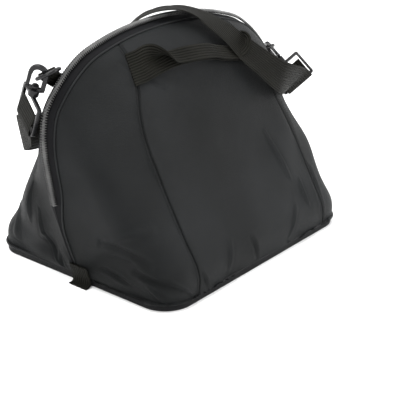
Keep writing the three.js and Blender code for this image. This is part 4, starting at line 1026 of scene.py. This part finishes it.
ends = {}
for side, (turn, drop, hang, loop_across) in HOOKS.items():
    root, bar, bar_way, x_way, y_way, axis = ring_frame(side)
    bow = bar + x_way * RING_DEPTH * math.cos(math.radians(turn)) ** 0.8
    bow = bow + y_way * RING_HALF * math.sin(math.radians(turn))
    up = -unit(np.array(hang))
    across = unit(np.array(loop_across) - up * (np.array(loop_across) @ up))
    origin = bow + up * (drop - HOOK_DROP)
    rows = np.array(STRAP_ENDS[side], float)
    places = origin + np.cross(up, across) * rows[:, :1] + up * (rows[:, 1:] - LOOP_DEPTH)
    ends[side] = (places, np.tile(across, (len(rows), 1)))
run_places = STRAP_RUN[:, :3] * (ARCH_WIDTH / 2, BASE_DEPTH / 2, ARCH_HEIGHT)
knots = np.vstack([ends["left"][0], run_places, ends["right"][0][::-1]])
widths = np.vstack([ends["left"][1], unit(STRAP_RUN[:, 3:]), -ends["right"][1][::-1]])
t = np.linspace(0, 1, STRAP_STEPS)
line = spline(knots, t)
tangent = unit(np.gradient(line, axis=0))
slide = t * (len(knots) - 1)
across = np.stack([np.interp(slide, np.arange(len(knots)), widths[:, k]) for k in range(3)], -1)
across = unit(across - tangent * np.sum(across * tangent, axis=-1, keepdims=True))
through = np.cross(tangent, across)
webbing_band(
    "strap_webbing", "shoulder_strap", line, across, through, STRAP_WIDTH, STRAP_SIDES, STRAP_CORNER)

# Webbing tabs at the zipper's two feet. Each is sewn up the outside of the shell's edge, covers the zipper's
# end, and turns out along the ground.
END_TAB_WIDTH = 27.0
END_TAB_REACH = 11.0
END_TAB_HEIGHT = 24.0
END_TAB_LEAN = 4.6
END_TAB_SETBACK = -9.0

for name, sign in (("left", -1.0), ("right", 1.0)):
    knee = BASE_WIDTH / 2 + PIPING_DIAMETER / 2 + CLEARANCE + WEBBING / 2
    foot = BASE_WIDTH / 2 - BAND_INSET + END_TAB_REACH
    profile = spline(np.array([
        (knee + END_TAB_LEAN, 0, END_TAB_HEIGHT), (knee + 1.6, 0, FOOT + 4), (knee, 0, FOOT - 2),
        (knee + 0.6, 0, 3.2), (knee + 3.0, 0, 1.1), (foot, 0, 0.9),
    ]), np.linspace(0, 1, 40))
    across = np.tile([0.0, 1.0, 0.0], (len(profile), 1))
    facing = np.cross(unit(np.gradient(profile, axis=0)), across)
    line = (profile + (0, ARCH_SETBACK + END_TAB_SETBACK, 0)) * (sign, 1, 1)
    webbing_band(
        f"foot_tab_{name}", f"zip_end_tab_{name}", line, across, facing * (sign, 1, 1),
        END_TAB_WIDTH, TAB_SIDES, TAB_CORNER)

# Floor and light. A plain white table, a large soft light above and behind the camera's left, a lower one from
# the right, and an even white surround.
FLOOR_SIZE = 8.0

ground = bpy.data.meshes.new("floor")
half = FLOOR_SIZE / 2
ground.from_pydata([(-half, -half, 0), (half, -half, 0), (half, half, 0), (-half, half, 0)], [], [(0, 1, 2, 3)])
floor = bpy.data.objects.new("floor", ground)
bpy.context.collection.objects.link(floor)
white = bpy.data.materials.new("white_table")
white.use_nodes = True
white.node_tree.nodes["Principled BSDF"].inputs["Base Color"].default_value = (0.95, 0.95, 0.95, 1)
white.node_tree.nodes["Principled BSDF"].inputs["Roughness"].default_value = 0.8
ground.materials.append(white)


def area_light(name, place, size, power):
    """A square lamp that looks at the middle of the bag."""
    lamp = bpy.data.lights.new(name, "AREA")
    lamp.size = size
    lamp.energy = power
    holder = bpy.data.objects.new(name, lamp)
    aim = Vector((0, 0, 0.12)) - Vector(place)
    holder.matrix_world = Matrix.Translation(place) @ aim.to_track_quat("-Z", "Y").to_matrix().to_4x4()
    bpy.context.collection.objects.link(holder)


area_light("top_light", (-0.3, 0.2, 1.6), 1.2, 28)
area_light("left_light", (-1.5, -0.9, 1.0), 1.0, 18)
area_light("right_light", (1.2, -1.2, 0.8), 0.8, 14)
world = bpy.data.worlds.new("surround")
world.use_nodes = True
world.node_tree.nodes["Background"].inputs["Color"].default_value = (1, 1, 1, 1)
world.node_tree.nodes["Background"].inputs["Strength"].default_value = 1.15
bpy.context.scene.world = world
bpy.context.scene.view_settings.view_transform = "Standard"
